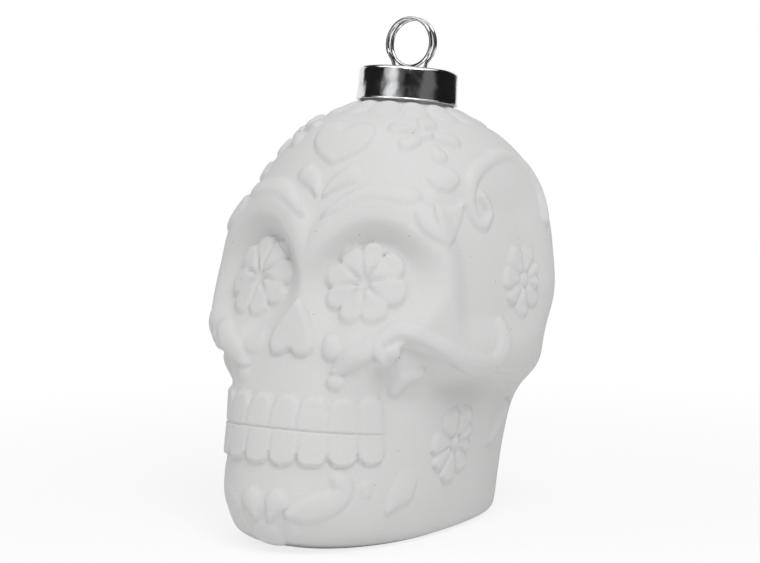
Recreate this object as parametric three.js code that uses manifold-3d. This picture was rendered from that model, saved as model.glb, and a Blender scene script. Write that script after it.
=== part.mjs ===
import * as THREE from "three";
import { mergeVertices } from "three/addons/utils/BufferGeometryUtils.js";
import Module from "manifold-3d";

const wasm = await Module();
wasm.setup();

// A hollow moulded sugar skull with a pressed metal cap and a wire hanger.
// The skull stands on z = 0, its face looks along -Y and its neck leans back.
// Driving sizes, in millimetres.
const headHeight = 91;
const wallThickness = 3.2;
const capRadius = 11.1;
const capTaper = 0.25;
const capHeight = 7.4;
const capSheet = 0.45;
const capCorner = 0.9;
const hemFlare = 0.25;
const hemHeight = 0.55;
const fitGap = 0.33;
const neckClearance = 0.4;
const hemClearance = 0.36;
const neckWall = 2.8;
const wireDiameter = 0.84;
const ringDiameter = 11.4;
const turnPitch = 1.9;
const legSpacing = 7.1;
const pullLength = 4.5;
const holeClearance = 0.3;
const ringTurns = 5 / 3;
const neckRadius = capRadius - capTaper - capSheet - neckClearance;
const boreRadius = neckRadius - neckWall;
const degree = Math.PI / 180;
const neckLean = 8.4 * degree;

// Steps of the meshes.
const roundSteps = 40;
const capSteps = 40;
const loopSteps = 24;
const legSteps = 14;
const wireSides = 6;
const startLevels = 20;
const refineRounds = 3;
const levelStep = 0.02;
const normalStep = 0.002;
const frameStep = 0.01;
const chordShare = 0.0034;
const edgeShare = 0.025;
const mergeShare = 1e-5;
const chordTolerance = headHeight * chordShare;
const shortestEdge = headHeight * edgeShare;

// The head's forms are shares of this hundredth of its height.
const hundredth = headHeight / 100;
const sinkShare = 0.5;
const skirtShare = 0.15;
const sinkDepth = wallThickness * sinkShare;
const skirtDepth = wallThickness * skirtShare;

const neckRoot = 100 - hemClearance / hundredth;
const neckHalf = neckRadius / hundredth;
const neckRun = neckHalf * Math.cos(neckLean);
const neckRise = neckHalf * Math.sin(neckLean);

// Loft from the neck's root down to the base. Each row holds the front point (y, z), the
// back point (y, z), the half width, the place of the widest part between front and back,
// and the squareness of the front and of the back.
const loftShares = [
  [-neckRun, neckRoot + neckRise, neckRun, neckRoot - neckRise, neckHalf, 0.5, 2, 2],
  [-16, 99.5, 15.5, 95, 15, 0.5, 2, 2],
  [-25, 96.5, 23.5, 91, 22, 0.52, 2, 2],
  [-31.5, 89, 29, 83.5, 29, 0.54, 2.3, 2],
  [-38.5, 78.5, 31.5, 73.5, 34, 0.55, 2.55, 2],
  [-43.5, 68.5, 31.5, 63, 36.5, 0.55, 2.75, 2],
  [-46.5, 57.5, 30.5, 53.5, 37.5, 0.55, 2.9, 2],
  [-49.5, 48, 28.5, 44, 36, 0.53, 2.9, 2],
  [-53, 38.5, 27.5, 35, 31.5, 0.55, 2.5, 2.2],
  [-56.5, 29, 26, 27.5, 27, 0.54, 2.4, 2.4],
  [-59.5, 19, 25, 18.5, 25, 0.5, 2.4, 2.5],
  [-61.5, 11, 24.5, 10.5, 24, 0.48, 2.3, 2.5],
  [-59.5, 4.5, 24, 3.5, 23, 0.47, 2.2, 2.5],
  [-55, 1.5, 23, 1, 22, 0.47, 2.2, 2.5],
  [-50, 0, 21, 0, 19.5, 0.47, 2.2, 2.4],
];
const lastLevel = loftShares.length - 1;

// Levels of the cavity's rings, and the foot of the bore, the floor's edge and the floor in
// thicknesses of the wall.
const cavityLevels = [1.5, 2.2, 3.1, 4, 4.9, 5.8, 6.7, 7.6, 8.4, 9.6, 11];
const boreFootShare = 1.25;
const floorShares = {
  edge: { rise: 1, inset: 1.7, height: 1.25 },
  flat: { rise: 0.6, inset: 2.4, height: 1 },
};

// Broad forms. A ramp is a pair of places between which a form fades in.
const faceRampShares = [-13, -29];
const socketShares = {
  x: 15.8, z: 61.5, wide: 13.6, high: 14.5, depth: 5.1,
  floor: 0.42, edgeBelow: 1.12, edgeAbove: 1.02, shallowest: 0.42,
};
const browShares = { rise: 1.2, ring: 1.2, reach: 0.2, ramp: [0, 0.75] };
const outerRimShares = { rise: 0.9, ring: 1.17, reach: 0.18, ramp: [0.5, 0.95] };
const templeShares = {
  rise: -1.6, side: [22, 30], front: [-33, -26], back: [15, -4], bottom: [45, 54], top: [86, 75],
};
const cheekShares = {
  rise: 1.65,
  reach: 5.5,
  line: [[16, -49, 47], [24, -43, 46], [30, -33, 44], [33, -20, 42], [34, -4, 42], [31, 9, 42]],
};
const underCheekShares = {
  rise: -2,
  reach: 5.3,
  line: [[23, -43, 35], [27, -31, 34], [30, -15, 33], [29, 0, 31], [24, 11, 29]],
};
const besideNoseShares = { x: 10.4, z: 44, wide: 4.4, high: 5.5, rise: -0.8 };

// Raised strokes, each with its rise and its nodes: the angle round the head in degrees,
// the level in the loft and the half width. They are mirrored to the other side.
const strokeShares = {
  foreheadDrop: { rise: 0.9, nodes: [[1.4, 3.85, 0.5], [3.2, 3.67, 1.4], [6, 3.53, 2.3], [9.8, 3.4, 2.5]] },
  brow: {
    rise: 0.9,
    nodes: [
      [4.2, 4.3, 0.6], [8, 4.1, 1.3], [12, 3.91, 1.9], [17, 3.76, 2.4],
      [23, 3.71, 2.5], [29, 3.75, 2.7], [33, 3.78, 2.7],
    ],
  },
  templeScroll: {
    rise: 1,
    nodes: [
      [63.5, 3.69, 1.3], [67.3, 3.95, 1.4], [63.2, 4.28, 1.6], [58.5, 4.02, 1.5],
      [57, 3.6, 1.7], [60.9, 3.22, 1.9], [67, 3.02, 1.8], [75, 2.85, 1.8], [86, 2.74, 1.8],
      [96, 2.78, 1.8], [103, 3.05, 1.8], [108, 3.5, 1.8], [106.5, 4.15, 1.5],
    ],
  },
  crownPetalFront: { rise: 0.8, nodes: [[36, 2.17, 0.8], [25, 2.13, 1.7]] },
  crownPetalLow: { rise: 0.8, nodes: [[37, 2.45, 0.9], [31, 2.6, 2]] },
  crownPetalDown: { rise: 0.8, nodes: [[42.5, 2.6, 1], [44.5, 2.88, 2.1]] },
  crownPetalBack: { rise: 0.8, nodes: [[46, 2.4, 0.9], [54.5, 2.42, 2.1]] },
  crownPetalUp: { rise: 0.8, nodes: [[39.5, 2.15, 0.9], [44, 1.82, 2.7]] },
  crownBud: { rise: 0.9, nodes: [[39.5, 2.32, 1.3], [42, 2.3, 1.3]] },
  noseDrop: { rise: 1, nodes: [[9, 6.6, 0.5], [10.6, 6.8, 1.5], [13, 7.02, 2.5], [14.6, 7.2, 2.6]] },
  lipScroll: {
    rise: 0.9,
    nodes: [
      [16.3, 7.93, 1.8], [14.3, 7.77, 1.5], [16, 7.58, 1.6], [19.5, 7.5, 1.6],
      [22.5, 7.39, 1.6], [25.7, 7.25, 1.6], [28, 7.05, 1.6],
    ],
  },
  cheekScroll: {
    rise: 1.1,
    nodes: [
      [31.5, 7.37, 1], [29.4, 7.2, 1.1], [30, 6.91, 1.4], [32.4, 6.72, 1.8], [35, 6.67, 1.8],
      [38.5, 6.71, 1.7], [43.2, 6.86, 1.5], [50, 7.08, 1.7], [56, 7.29, 1.9], [64, 7.51, 2.3],
      [71, 7.57, 2.5], [76.5, 7.43, 2.5], [78.5, 7.15, 2.1], [76.5, 6.8, 1.2],
    ],
  },
  cheekBall: { rise: 0.9, nodes: [[33.6, 7.12, 1.9], [32.4, 7.12, 1.9]] },
  lowScroll: {
    rise: 1,
    nodes: [
      [37.4, 8.38, 1.5], [36.5, 8.15, 1.6], [37.3, 7.9, 1.7], [40, 7.71, 1.9],
      [44.3, 7.63, 1.7], [51, 7.55, 0.8],
    ],
  },
  chinDome: { rise: 0.8, nodes: [[0, 12.2, 3.7], [0, 12, 3.7]] },
  chinPetal: { rise: 0.9, nodes: [[2.3, 11.3, 0.8], [4.6, 10.8, 2.9]] },
  chinComma: {
    rise: 0.9,
    nodes: [
      [9, 11.17, 0.8], [13, 11.13, 1.9], [18.5, 11.02, 2.5], [23.5, 10.82, 2.2],
      [26.4, 10.5, 1.7], [24.5, 10.2, 2], [19.5, 9.98, 2],
    ],
  },
  chinBump: { rise: 0.7, nodes: [[33.2, 10.43, 1.6], [35.5, 10.75, 1]] },
  jawLeaf: { rise: 0.9, nodes: [[44, 11.25, 0.6], [48.5, 10.95, 2.2], [53, 10.75, 3.1]] },
};
const smallHalfShare = 2.25;

// Raised pillows, each with its rise and the places (angle, level) along its edge. The two
// hearts hold the edge of one half, from the notch down to the tip.
const heartShares = {
  forehead: {
    rise: 0.9,
    edge: [
      [0, 2.24], [4, 2.07], [9, 2], [14, 2.08], [16.3, 2.35], [14, 2.7], [9, 2.95], [4, 3.11], [0, 3.2],
    ],
  },
  nose: {
    rise: 1.3,
    edge: [
      [0, 7.24], [2, 7.34], [4.2, 7.38], [6.6, 7.33], [8, 7.1], [7, 6.75], [4.9, 6.45], [2.6, 6.22],
      [0, 6.06],
    ],
  },
};
const pillowShares = {
  halfMoon: {
    rise: 0.9,
    edge: [[38.7, 3.4], [41.5, 3.59], [45.5, 3.64], [49.5, 3.58], [52.5, 3.36], [48.3, 3.18], [43, 3.27]],
  },
  browHook: {
    rise: 0.9,
    edge: [
      [34.3, 4.1], [36.5, 3.96], [41.5, 3.94], [47, 3.9], [54.5, 3.77], [53.8, 4.07],
      [51.1, 4.42], [48.2, 4.72], [46, 4.83], [42.5, 4.75], [38.5, 4.58], [35.5, 4.34],
    ],
  },
};
const pillowRingShares = [{ inset: 0.16, height: 0.94 }, { inset: 0.55, height: 1 }];

// Flowers of the eyes, jaw and temples: place (angle, level), radius, span of a petal along
// the radius and its half widths at both ends, and for each petal its turn and its reach.
const budShare = 0.2;
const eyePetalShares = {
  span: [0.12, 0.69], half: [0.07, 0.29], rise: 1.6,
  turns: [-12, 40, 83, 119, 166, 210, 250, 294], reaches: [1, 1, 1, 1, 1, 1, 1, 1],
};
const sidePetalShares = {
  span: [0.34, 0.74], half: [0.13, 0.24], rise: 1.2,
  turns: [-15, 21, 59, 114, 180, 209, 256, 310], reaches: [0.75, 0.82, 1, 1, 1.05, 1, 1.05, 0.95],
};
const flowerShares = {
  eye: { place: [20.2, 5.62], radius: 10.4, petals: eyePetalShares },
  jaw: { place: [80.4, 9.64], radius: 9.2, petals: sidePetalShares },
  temple: { place: [88.5, 5.54], radius: 8.6, petals: sidePetalShares },
};

// Two rows of teeth, each with its level and its lower and upper edge.
const teethPerSide = 4;
const toothShares = {
  width: 6.8, gap: 0.2, rise: 1,
  rows: [{ level: 8.6, low: 28.6, high: 36.9 }, { level: 9.4, low: 20.9, high: 28.2 }],
};

// Petals round the neck, just outside the cap's rim.
const collarShares = { count: 14, near: 14.7, far: 16.2, nearHalf: 3, farHalf: 3.6, rise: 0.8 };

const mix = THREE.MathUtils.lerp;
const bump = (value) => Math.exp(-value * value);

function rampAt([from, to], value) {
  return THREE.MathUtils.smoothstep((value - from) / (to - from), 0, 1);
}

function stationAt(level) {
  const first = Math.min(Math.floor(level), lastLevel - 1);
  const share = level - first;
  const rows = [-1, 0, 1, 2].map((step) => {
    return loftShares[THREE.MathUtils.clamp(first + step, 0, lastLevel)];
  });
  return rows[1].map((value, column) => {
    const before = rows[0][column];
    const after = rows[2][column];
    const beyond = rows[3][column];
    const slope = after - before;
    const bend = 2 * before - 5 * value + 4 * after - beyond;
    const twist = 3 * value - before - 3 * after + beyond;
    return value + 0.5 * share * (slope + share * (bend + share * twist));
  });
}

// Point of the plain loft, in hundredths. Angle 0 is the front and a quarter turn is +X.
function loftPoint(around, level) {
  const [frontY, frontZ, backY, backZ, half, widest, squareFront, squareBack] = stationAt(level);
  const cosine = Math.cos(around);
  const sine = Math.sin(around);
  const square = mix(squareBack, squareFront, (1 + cosine) / 2);
  const length = Math.hypot(frontY - backY, frontZ - backZ);
  const reach = cosine >= 0 ? widest * length : (1 - widest) * length;
  const sum = Math.abs(sine / half) ** square + Math.abs(cosine / reach) ** square;
  const radius = sum ** (-1 / square);
  const along = (radius * cosine) / length;
  return new THREE.Vector3(
    radius * sine,
    mix(frontY, backY, widest) + (frontY - backY) * along,
    mix(frontZ, backZ, widest) + (frontZ - backZ) * along,
  );
}

function loftNormal(around, level) {
  const low = Math.min(level + normalStep, lastLevel);
  const high = Math.max(level - normalStep, 0);
  const across = loftPoint(around + normalStep, level).sub(loftPoint(around - normalStep, level));
  const down = loftPoint(around, low).sub(loftPoint(around, high));
  return down.cross(across).normalize();
}

function nearestOnLine(point, nodes) {
  let best = Infinity;
  for (let index = 1; index < nodes.length; index += 1) {
    const start = nodes[index - 1];
    const ahead = new THREE.Vector3().subVectors(nodes[index], start);
    const offset = new THREE.Vector3().subVectors(point, start);
    const share = THREE.MathUtils.clamp(offset.dot(ahead) / ahead.lengthSq(), 0, 1);
    const away = offset.addScaledVector(ahead, -share).length();
    best = Math.min(best, away);
  }
  return best;
}

const vectorsOf = (rows) => rows.map((row) => new THREE.Vector3(...row));
const cheekLine = vectorsOf(cheekShares.line);
const underCheekLine = vectorsOf(underCheekShares.line);

// Height of the broad forms over the loft at a point of it: sockets, brows, temples, cheeks.
function broadForm(point) {
  const { x, y, z } = point;
  const face = rampAt(faceRampShares, y);
  const socket = socketShares;
  const across = (x - socket.x) / socket.wide;
  const upward = (z - socket.z) / socket.high;
  const away = Math.max(Math.hypot(across, upward), Number.EPSILON);
  const depth = socket.depth * mix(socket.shallowest, 1, rampAt([-0.9, 0.75], upward));
  const edge = mix(socket.edgeBelow, socket.edgeAbove, rampAt([-0.2, 0.8], upward));
  let height = -depth * face * (1 - rampAt([socket.floor, edge], away));
  for (const [ridge, part] of [[browShares, upward], [outerRimShares, across]]) {
    height += ridge.rise * face * bump((away - ridge.ring) / ridge.reach) * rampAt(ridge.ramp, part / away);
  }
  const temple = templeShares;
  const along = rampAt(temple.side, x) * rampAt(temple.front, y) * rampAt(temple.back, y);
  height += temple.rise * along * rampAt(temple.bottom, z) * rampAt(temple.top, z);
  for (const [form, line] of [[cheekShares, cheekLine], [underCheekShares, underCheekLine]]) {
    height += form.rise * bump(nearestOnLine(point, line) / form.reach);
  }
  const nose = besideNoseShares;
  height += nose.rise * face * bump((x - nose.x) / nose.wide) * bump((z - nose.z) / nose.high);
  return height;
}

// Point of the head with its broad forms, in millimetres, set in from the outside.
function shellPoint(around, level, inset) {
  const plain = loftPoint(around, level);
  const normal = loftNormal(around, level);
  const mirrored = plain.clone();
  mirrored.x = Math.abs(mirrored.x);
  const ends = rampAt([0, 1.2], level) * rampAt([lastLevel, lastLevel - 2.2], level);
  const height = broadForm(mirrored) * ends;
  return plain.addScaledVector(normal, height).multiplyScalar(hundredth).addScaledVector(normal, -inset);
}

// Point, outward normal and the directions across and up the head at a place on it.
function frameAt([around, level]) {
  const point = shellPoint(around, level, 0);
  const across = shellPoint(around + frameStep, level, 0).sub(point);
  const down = shellPoint(around, level + frameStep, 0).sub(point);
  const normal = new THREE.Vector3().crossVectors(down, across).normalize();
  const up = new THREE.Vector3(0, 0, 1).addScaledVector(normal, -normal.z).normalize();
  return { point, normal, up, side: new THREE.Vector3().crossVectors(up, normal), across, down };
}

// Place on the head that lies at an offset sideways and upward from a frame's point.
function placeBeside(frame, start, sideways, upward) {
  const place = [...start];
  for (let round = 0; round < 4; round += 1) {
    const offset = shellPoint(...place, 0).sub(frame.point);
    const missing = [sideways - offset.dot(frame.side), upward - offset.dot(frame.up)];
    const [a, b] = [frame.across.dot(frame.side), frame.down.dot(frame.side)];
    const [c, d] = [frame.across.dot(frame.up), frame.down.dot(frame.up)];
    const size = a * d - b * c;
    place[0] += (frameStep * (d * missing[0] - b * missing[1])) / size;
    place[1] += (frameStep * (a * missing[1] - c * missing[0])) / size;
  }
  return place;
}

function levelAtHeight(around, height) {
  let low = 0;
  let high = lastLevel;
  for (let round = 0; round < 24; round += 1) {
    const middle = (low + high) / 2;
    if (shellPoint(around, middle, 0).z > height) {
      low = middle;
    } else {
      high = middle;
    }
  }
  return low;
}

const neckUp = new THREE.Vector3(0, Math.sin(neckLean), Math.cos(neckLean));

function fromNeckAxis(point) {
  const offset = point.clone().sub(new THREE.Vector3(0, 0, headHeight));
  return offset.addScaledVector(neckUp, -offset.dot(neckUp)).length();
}

function levelAtRadius(around, radius) {
  let level = 0;
  while (fromNeckAxis(shellPoint(around, level, 0)) < radius) {
    level += levelStep;
  }
  return level;
}

// Cross-sections of the raised work: sideways and upward shares of the half width and rise.
const roundSectionShares = [[-1, 0], [-0.5, 0.92], [0.5, 0.92], [1, 0]];
const petalSectionShares = [[-1, 0], [0, 1.1], [1, 0]];
const toothSectionShares = [[-1, 0], [-0.74, 1], [0.74, 1], [1, 0]];
const roundEndShares = [[0.9, 0.42], [0.36, 0.94]];
const petalEndShares = [[0.66, 0.7]];
const toothEndShares = [[0.5, 0.74], [0.28, 1]];

function formOf(small) {
  return small ? [petalSectionShares, petalEndShares] : [roundSectionShares, roundEndShares];
}

// A closed raised body along places on the head, sunk into it, with rounded ends.
function raisedBody(places, halves, rise, section, ends) {
  const frames = places.map(frameAt);
  const stations = [];
  const addEnd = (index, away, reversed) => {
    const list = reversed ? [...ends].reverse() : ends;
    for (const [back, share] of list) {
      const centre = frames[index].point.clone().addScaledVector(away, back * halves[index]);
      stations.push({ centre, normal: frames[index].normal, half: halves[index] * share, rise: rise * share });
    }
  };
  const towards = (from, to) => new THREE.Vector3().subVectors(frames[from].point, frames[to].point);
  const last = frames.length - 1;
  addEnd(0, towards(0, 1).normalize(), false);
  for (let index = 1; index < last; index += 1) {
    stations.push({ centre: frames[index].point, normal: frames[index].normal, half: halves[index], rise });
  }
  addEnd(last, towards(last, last - 1).normalize(), true);
  const positions = [];
  const indices = [];
  stations.forEach((station, index) => {
    const before = stations[Math.max(index - 1, 0)].centre;
    const after = stations[Math.min(index + 1, stations.length - 1)].centre;
    const side = new THREE.Vector3().subVectors(after, before).cross(station.normal).normalize();
    const height = station.rise + skirtDepth;
    const outline = section.map(([across, up]) => [across * station.half, up * height - skirtDepth]);
    outline.push([0, -sinkDepth]);
    for (const [across, up] of outline) {
      const corner = station.centre.clone().addScaledVector(side, across);
      corner.addScaledVector(station.normal, up);
      positions.push(corner.x, corner.y, corner.z);
    }
  });
  const count = section.length + 1;
  for (let ring = 1; ring < stations.length; ring += 1) {
    for (let step = 0; step < count; step += 1) {
      const next = (step + 1) % count;
      const [lower, upper] = [(ring - 1) * count, ring * count];
      indices.push(lower + step, upper + step, upper + next, lower + step, upper + next, lower + next);
    }
  }
  const top = (stations.length - 1) * count;
  for (let step = 1; step < count - 1; step += 1) {
    indices.push(0, step, step + 1, top, top + step + 1, top + step);
  }
  return closedGeometry(positions, indices);
}

function strokeBodies() {
  return Object.values(strokeShares).map((stroke) => {
    const curve = new THREE.CatmullRomCurve3(vectorsOf(stroke.nodes), false, "catmullrom", 0.5);
    const bends = stroke.nodes.length - 1;
    const nodes = curve.getPoints(bends);
    const halves = nodes.map((node) => node.z * hundredth);
    const places = nodes.map((node) => [node.x * degree, node.y]);
    const [section, ends] = formOf(bends === 1 && stroke.nodes[1][2] < smallHalfShare);
    return raisedBody(places, halves, stroke.rise * hundredth, section, ends);
  });
}

// A closed pillow over an edge of places: a skirt sunk into the head, a raised rim and a
// raised middle.
function pillowBody(edge, rise) {
  const line = vectorsOf(edge.map(([across, level]) => [across, level, 0]));
  const ring = new THREE.CatmullRomCurve3(line, true);
  const count = 2 * edge.length;
  const frames = ring.getPoints(count).slice(0, count).map((node) => frameAt([node.x * degree, node.y]));
  const middle = frames.reduce((sum, { point }) => sum.add(point), new THREE.Vector3()).divideScalar(count);
  const normal = frames.reduce((sum, frame) => sum.add(frame.normal), new THREE.Vector3()).normalize();
  const crown = frames.map(({ point }) => point.clone().sub(middle).dot(normal));
  const sag = -crown.reduce((sum, value) => sum + value, 0) / count;
  const bulge = Math.max(sag, Math.max(...crown.map(Math.abs)));
  const positions = [];
  const put = (point) => positions.push(point.x, point.y, point.z);
  frames.forEach((frame) => put(frame.point.clone().addScaledVector(frame.normal, -skirtDepth)));
  for (const { inset, height } of pillowRingShares) {
    for (const frame of frames) {
      const point = frame.point.clone().lerp(middle, inset);
      put(point.addScaledVector(frame.normal, rise * height + bulge * inset * (2 - inset)));
    }
  }
  put(middle.clone().addScaledVector(normal, rise + bulge));
  put(middle.clone().addScaledVector(normal, -sinkDepth));
  const indices = [];
  const top = (pillowRingShares.length + 1) * count;
  for (let step = 0; step < count; step += 1) {
    const next = (step + 1) % count;
    for (let lower = 0; lower < top - count; lower += count) {
      const upper = lower + count;
      indices.push(lower + step, lower + next, upper + next, lower + step, upper + next, upper + step);
    }
    indices.push(top - count + step, top - count + next, top, next, step, top + 1);
  }
  return closedGeometry(positions, indices);
}

function pillowBodies() {
  const hearts = Object.values(heartShares).map(({ rise, edge }) => {
    const mirrored = edge.slice(1, -1).reverse().map(([across, level]) => [-across, level]);
    return pillowBody([...edge, ...mirrored], rise * hundredth);
  });
  const others = Object.values(pillowShares).map(({ rise, edge }) => pillowBody(edge, rise * hundredth));
  return [...hearts, ...others];
}

function flowerBodies() {
  return Object.values(flowerShares).flatMap((flower) => {
    const place = [flower.place[0] * degree, flower.place[1]];
    const frame = frameAt(place);
    const radius = flower.radius * hundredth;
    const { span, half, rise, turns, reaches } = flower.petals;
    const isSmall = flower.petals === sidePetalShares;
    const bodies = turns.map((degrees, petal) => {
      const turn = degrees * degree;
      const places = span.map((share) => {
        const reach = share * reaches[petal] * radius;
        return placeBeside(frame, place, Math.cos(turn) * reach, Math.sin(turn) * reach);
      });
      return raisedBody(places, half.map((share) => share * radius), rise * hundredth, ...formOf(isSmall));
    });
    const bud = [-1, 1].map((end) => placeBeside(frame, place, 0, (end * budShare * radius) / 3));
    const budHalves = bud.map(() => budShare * radius);
    bodies.push(raisedBody(bud, budHalves, rise * hundredth, ...formOf(true)));
    return bodies;
  });
}

// Angle at which the front of the head, at one level, has run a distance from the middle.
function angleAtRun(level, distance) {
  let around = 0;
  let run = 0;
  while (run < distance) {
    run += shellPoint(around + degree / 2, level, 0).distanceTo(shellPoint(around, level, 0));
    around += degree / 2;
  }
  return around;
}

function toothBodies() {
  const bodies = [];
  const half = (toothShares.width - toothShares.gap) / 2;
  for (const row of toothShares.rows) {
    const inner = half / (row.high - row.low) / 2;
    for (let tooth = 0; tooth < teethPerSide; tooth += 1) {
      const around = angleAtRun(row.level, (tooth + 0.5) * toothShares.width * hundredth);
      const places = [inner, 1 - inner].map((share) => {
        return [around, levelAtHeight(around, mix(row.low, row.high, share) * hundredth)];
      });
      const halves = [half * hundredth, half * hundredth];
      const rise = toothShares.rise * hundredth;
      bodies.push(raisedBody(places, halves, rise, toothSectionShares, toothEndShares));
    }
  }
  return bodies;
}

function collarBodies() {
  const bodies = [];
  for (let petal = 0.5; petal < collarShares.count / 2; petal += 1) {
    const around = (petal * 2 * Math.PI) / collarShares.count;
    const places = [collarShares.near, collarShares.far].map((radius) => {
      return [around, levelAtRadius(around, radius * hundredth)];
    });
    const halves = [collarShares.nearHalf, collarShares.farHalf].map((share) => share * hundredth);
    bodies.push(raisedBody(places, halves, collarShares.rise * hundredth, ...formOf(true)));
  }
  return bodies;
}

// Outside of one half of the head, split until every edge follows the moulded surface.
function refinedHalf() {
  const corners = [];
  const faces = [];
  const half = roundSteps / 2;
  const cornerAt = (around, level) => {
    corners.push({ around, level, point: shellPoint(around, level, 0) });
    return corners.length - 1;
  };
  for (let row = 0; row <= startLevels; row += 1) {
    for (let step = 0; step <= half; step += 1) {
      cornerAt((step * Math.PI) / half, (row * lastLevel) / startLevels);
    }
  }
  for (let row = 0; row < startLevels; row += 1) {
    for (let step = 0; step < half; step += 1) {
      const start = row * (half + 1) + step;
      const below = start + half + 1;
      faces.push([start, below, below + 1], [start, below + 1, start + 1]);
    }
  }
  let current = faces;
  for (let round = 0; round < refineRounds; round += 1) {
    const middles = new Map();
    const middleOf = (first, second) => {
      const key = first < second ? `${first},${second}` : `${second},${first}`;
      if (!middles.has(key)) {
        middles.set(key, splitEdge(corners, first, second));
      }
      return middles.get(key);
    };
    current = current.flatMap((face) => splitFace(face, middleOf));
  }
  return { corners, faces: current };
}

function splitEdge(corners, first, second) {
  const start = corners[first];
  const end = corners[second];
  const onRing = start.level === end.level && (start.level === 0 || start.level === lastLevel);
  if (onRing || start.point.distanceTo(end.point) < shortestEdge) {
    return -1;
  }
  const around = (start.around + end.around) / 2;
  const level = (start.level + end.level) / 2;
  const point = shellPoint(around, level, 0);
  const straight = start.point.clone().add(end.point).multiplyScalar(0.5);
  if (straight.distanceTo(point) < chordTolerance) {
    return -1;
  }
  corners.push({ around, level, point });
  return corners.length - 1;
}

function splitFace(face, middleOf) {
  const [a, b, c] = face;
  const [ab, bc, ca] = [middleOf(a, b), middleOf(b, c), middleOf(c, a)];
  const split = [ab, bc, ca].filter((middle) => middle >= 0).length;
  if (split === 0) {
    return [face];
  }
  if (split === 3) {
    return [[a, ab, ca], [ab, b, bc], [ca, bc, c], [ab, bc, ca]];
  }
  if (split === 1) {
    if (ab >= 0) {
      return [[a, ab, c], [ab, b, c]];
    }
    if (bc >= 0) {
      return [[a, b, bc], [a, bc, c]];
    }
    return [[a, b, ca], [ca, b, c]];
  }
  if (ca < 0) {
    return [[ab, b, bc], [a, ab, bc], [a, bc, c]];
  }
  if (ab < 0) {
    return [[bc, c, ca], [b, bc, ca], [a, b, ca]];
  }
  return [[a, ab, ca], [ab, b, c], [ab, c, ca]];
}

// Ring of the neck or the bore, in the neck's leaning frame over its foot.
function neckRing(radius, height) {
  const ring = [];
  const foot = new THREE.Vector3(0, 0, headHeight);
  const forward = new THREE.Vector3(0, -neckUp.z, neckUp.y);
  for (let step = 0; step < roundSteps; step += 1) {
    const turn = (step * 2 * Math.PI) / roundSteps;
    ring.push(foot.clone()
      .addScaledVector(neckUp, height)
      .addScaledVector(forward, radius * Math.cos(turn))
      .add(new THREE.Vector3(radius * Math.sin(turn), 0, 0)));
  }
  return ring;
}

function cavityRing(level, inset, floor) {
  const ring = [];
  for (let step = 0; step < roundSteps; step += 1) {
    const point = shellPoint((step * 2 * Math.PI) / roundSteps, level, inset);
    if (floor) {
      point.z = floor;
    }
    ring.push(point);
  }
  return ring;
}

// The skull's closed wall: outside, base, neck, bore and cavity.
function skullShellGeometry() {
  const positions = [];
  const indices = [];
  const put = (point) => {
    positions.push(point.x, point.y, point.z);
    return positions.length / 3 - 1;
  };
  const { corners, faces } = refinedHalf();
  for (const side of [1, -1]) {
    const placed = corners.map(({ point }) => {
      return put(new THREE.Vector3(side * point.x, point.y, point.z));
    });
    for (const [a, b, c] of faces) {
      const order = side > 0 ? [a, b, c] : [a, c, b];
      indices.push(...order.map((corner) => placed[corner]));
    }
  }
  const joinRings = (rings) => {
    const placed = rings.map((ring) => ring.map(put));
    for (let row = 1; row < placed.length; row += 1) {
      for (let step = 0; step < roundSteps; step += 1) {
        const next = (step + 1) % roundSteps;
        const [upper, lower] = [placed[row - 1], placed[row]];
        indices.push(upper[step], lower[step], lower[next], upper[step], lower[next], upper[next]);
      }
    }
    return placed;
  };
  const closeRing = (ring, centre, outwardDown) => {
    for (let step = 0; step < roundSteps; step += 1) {
      const next = (step + 1) % roundSteps;
      const pair = outwardDown ? [ring[step], ring[next]] : [ring[next], ring[step]];
      indices.push(pair[1], pair[0], centre);
    }
  };
  const rootRing = [];
  const baseRing = [];
  for (let step = 0; step < roundSteps; step += 1) {
    const around = (step * 2 * Math.PI) / roundSteps;
    rootRing.push(shellPoint(around, 0, 0));
    baseRing.push(shellPoint(around, lastLevel, 0));
  }
  const [floorEdge, floorFlat] = [floorShares.edge, floorShares.flat].map((ring) => {
    return cavityRing(lastLevel - ring.rise, wallThickness * ring.inset, wallThickness * ring.height);
  });
  joinRings([
    floorFlat,
    floorEdge,
    ...cavityLevels.map((level) => cavityRing(level, wallThickness, 0)).reverse(),
    neckRing(boreRadius, -boreFootShare * wallThickness),
    neckRing(boreRadius, neckTop - neckEdge),
    neckRing(boreRadius + neckEdge, neckTop),
    neckRing(neckRadius - neckEdge, neckTop),
    neckRing(neckRadius, neckTop - neckEdge),
    rootRing,
  ]);
  const middleOf = (ring) => {
    const sum = ring.reduce((total, point) => total.add(point), new THREE.Vector3());
    return sum.divideScalar(ring.length);
  };
  closeRing(baseRing.map(put), put(middleOf(baseRing)), true);
  closeRing(floorFlat.map(put), put(middleOf(floorFlat)), false);
  const relief = [strokeBodies(), pillowBodies(), flowerBodies(), toothBodies(), collarBodies()].flat();
  let solid = solidOf(closedGeometry(positions, indices));
  for (const body of relief) {
    solid = solid.add(solidOf(body));
    body.computeBoundingBox();
    const { min, max } = body.boundingBox;
    if (Math.abs(min.x + max.x) > shortestEdge) {
      solid = solid.add(solidOf(body.clone().scale(-1, 1, 1)));
    }
  }
  return geometryOf(solid);
}

// Joins the doubled corners and turns the faces outward.
function closedGeometry(positions, indices) {
  const geometry = new THREE.BufferGeometry();
  geometry.setAttribute("position", new THREE.Float32BufferAttribute(positions, 3));
  geometry.setIndex(indices);
  return outward(geometry);
}

function solidOf(geometry) {
  const clean = outward(geometry);
  return new wasm.Manifold(new wasm.Mesh({
    numProp: 3,
    vertProperties: new Float32Array(clean.getAttribute("position").array),
    triVerts: new Uint32Array(clean.getIndex().array),
  }));
}

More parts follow.
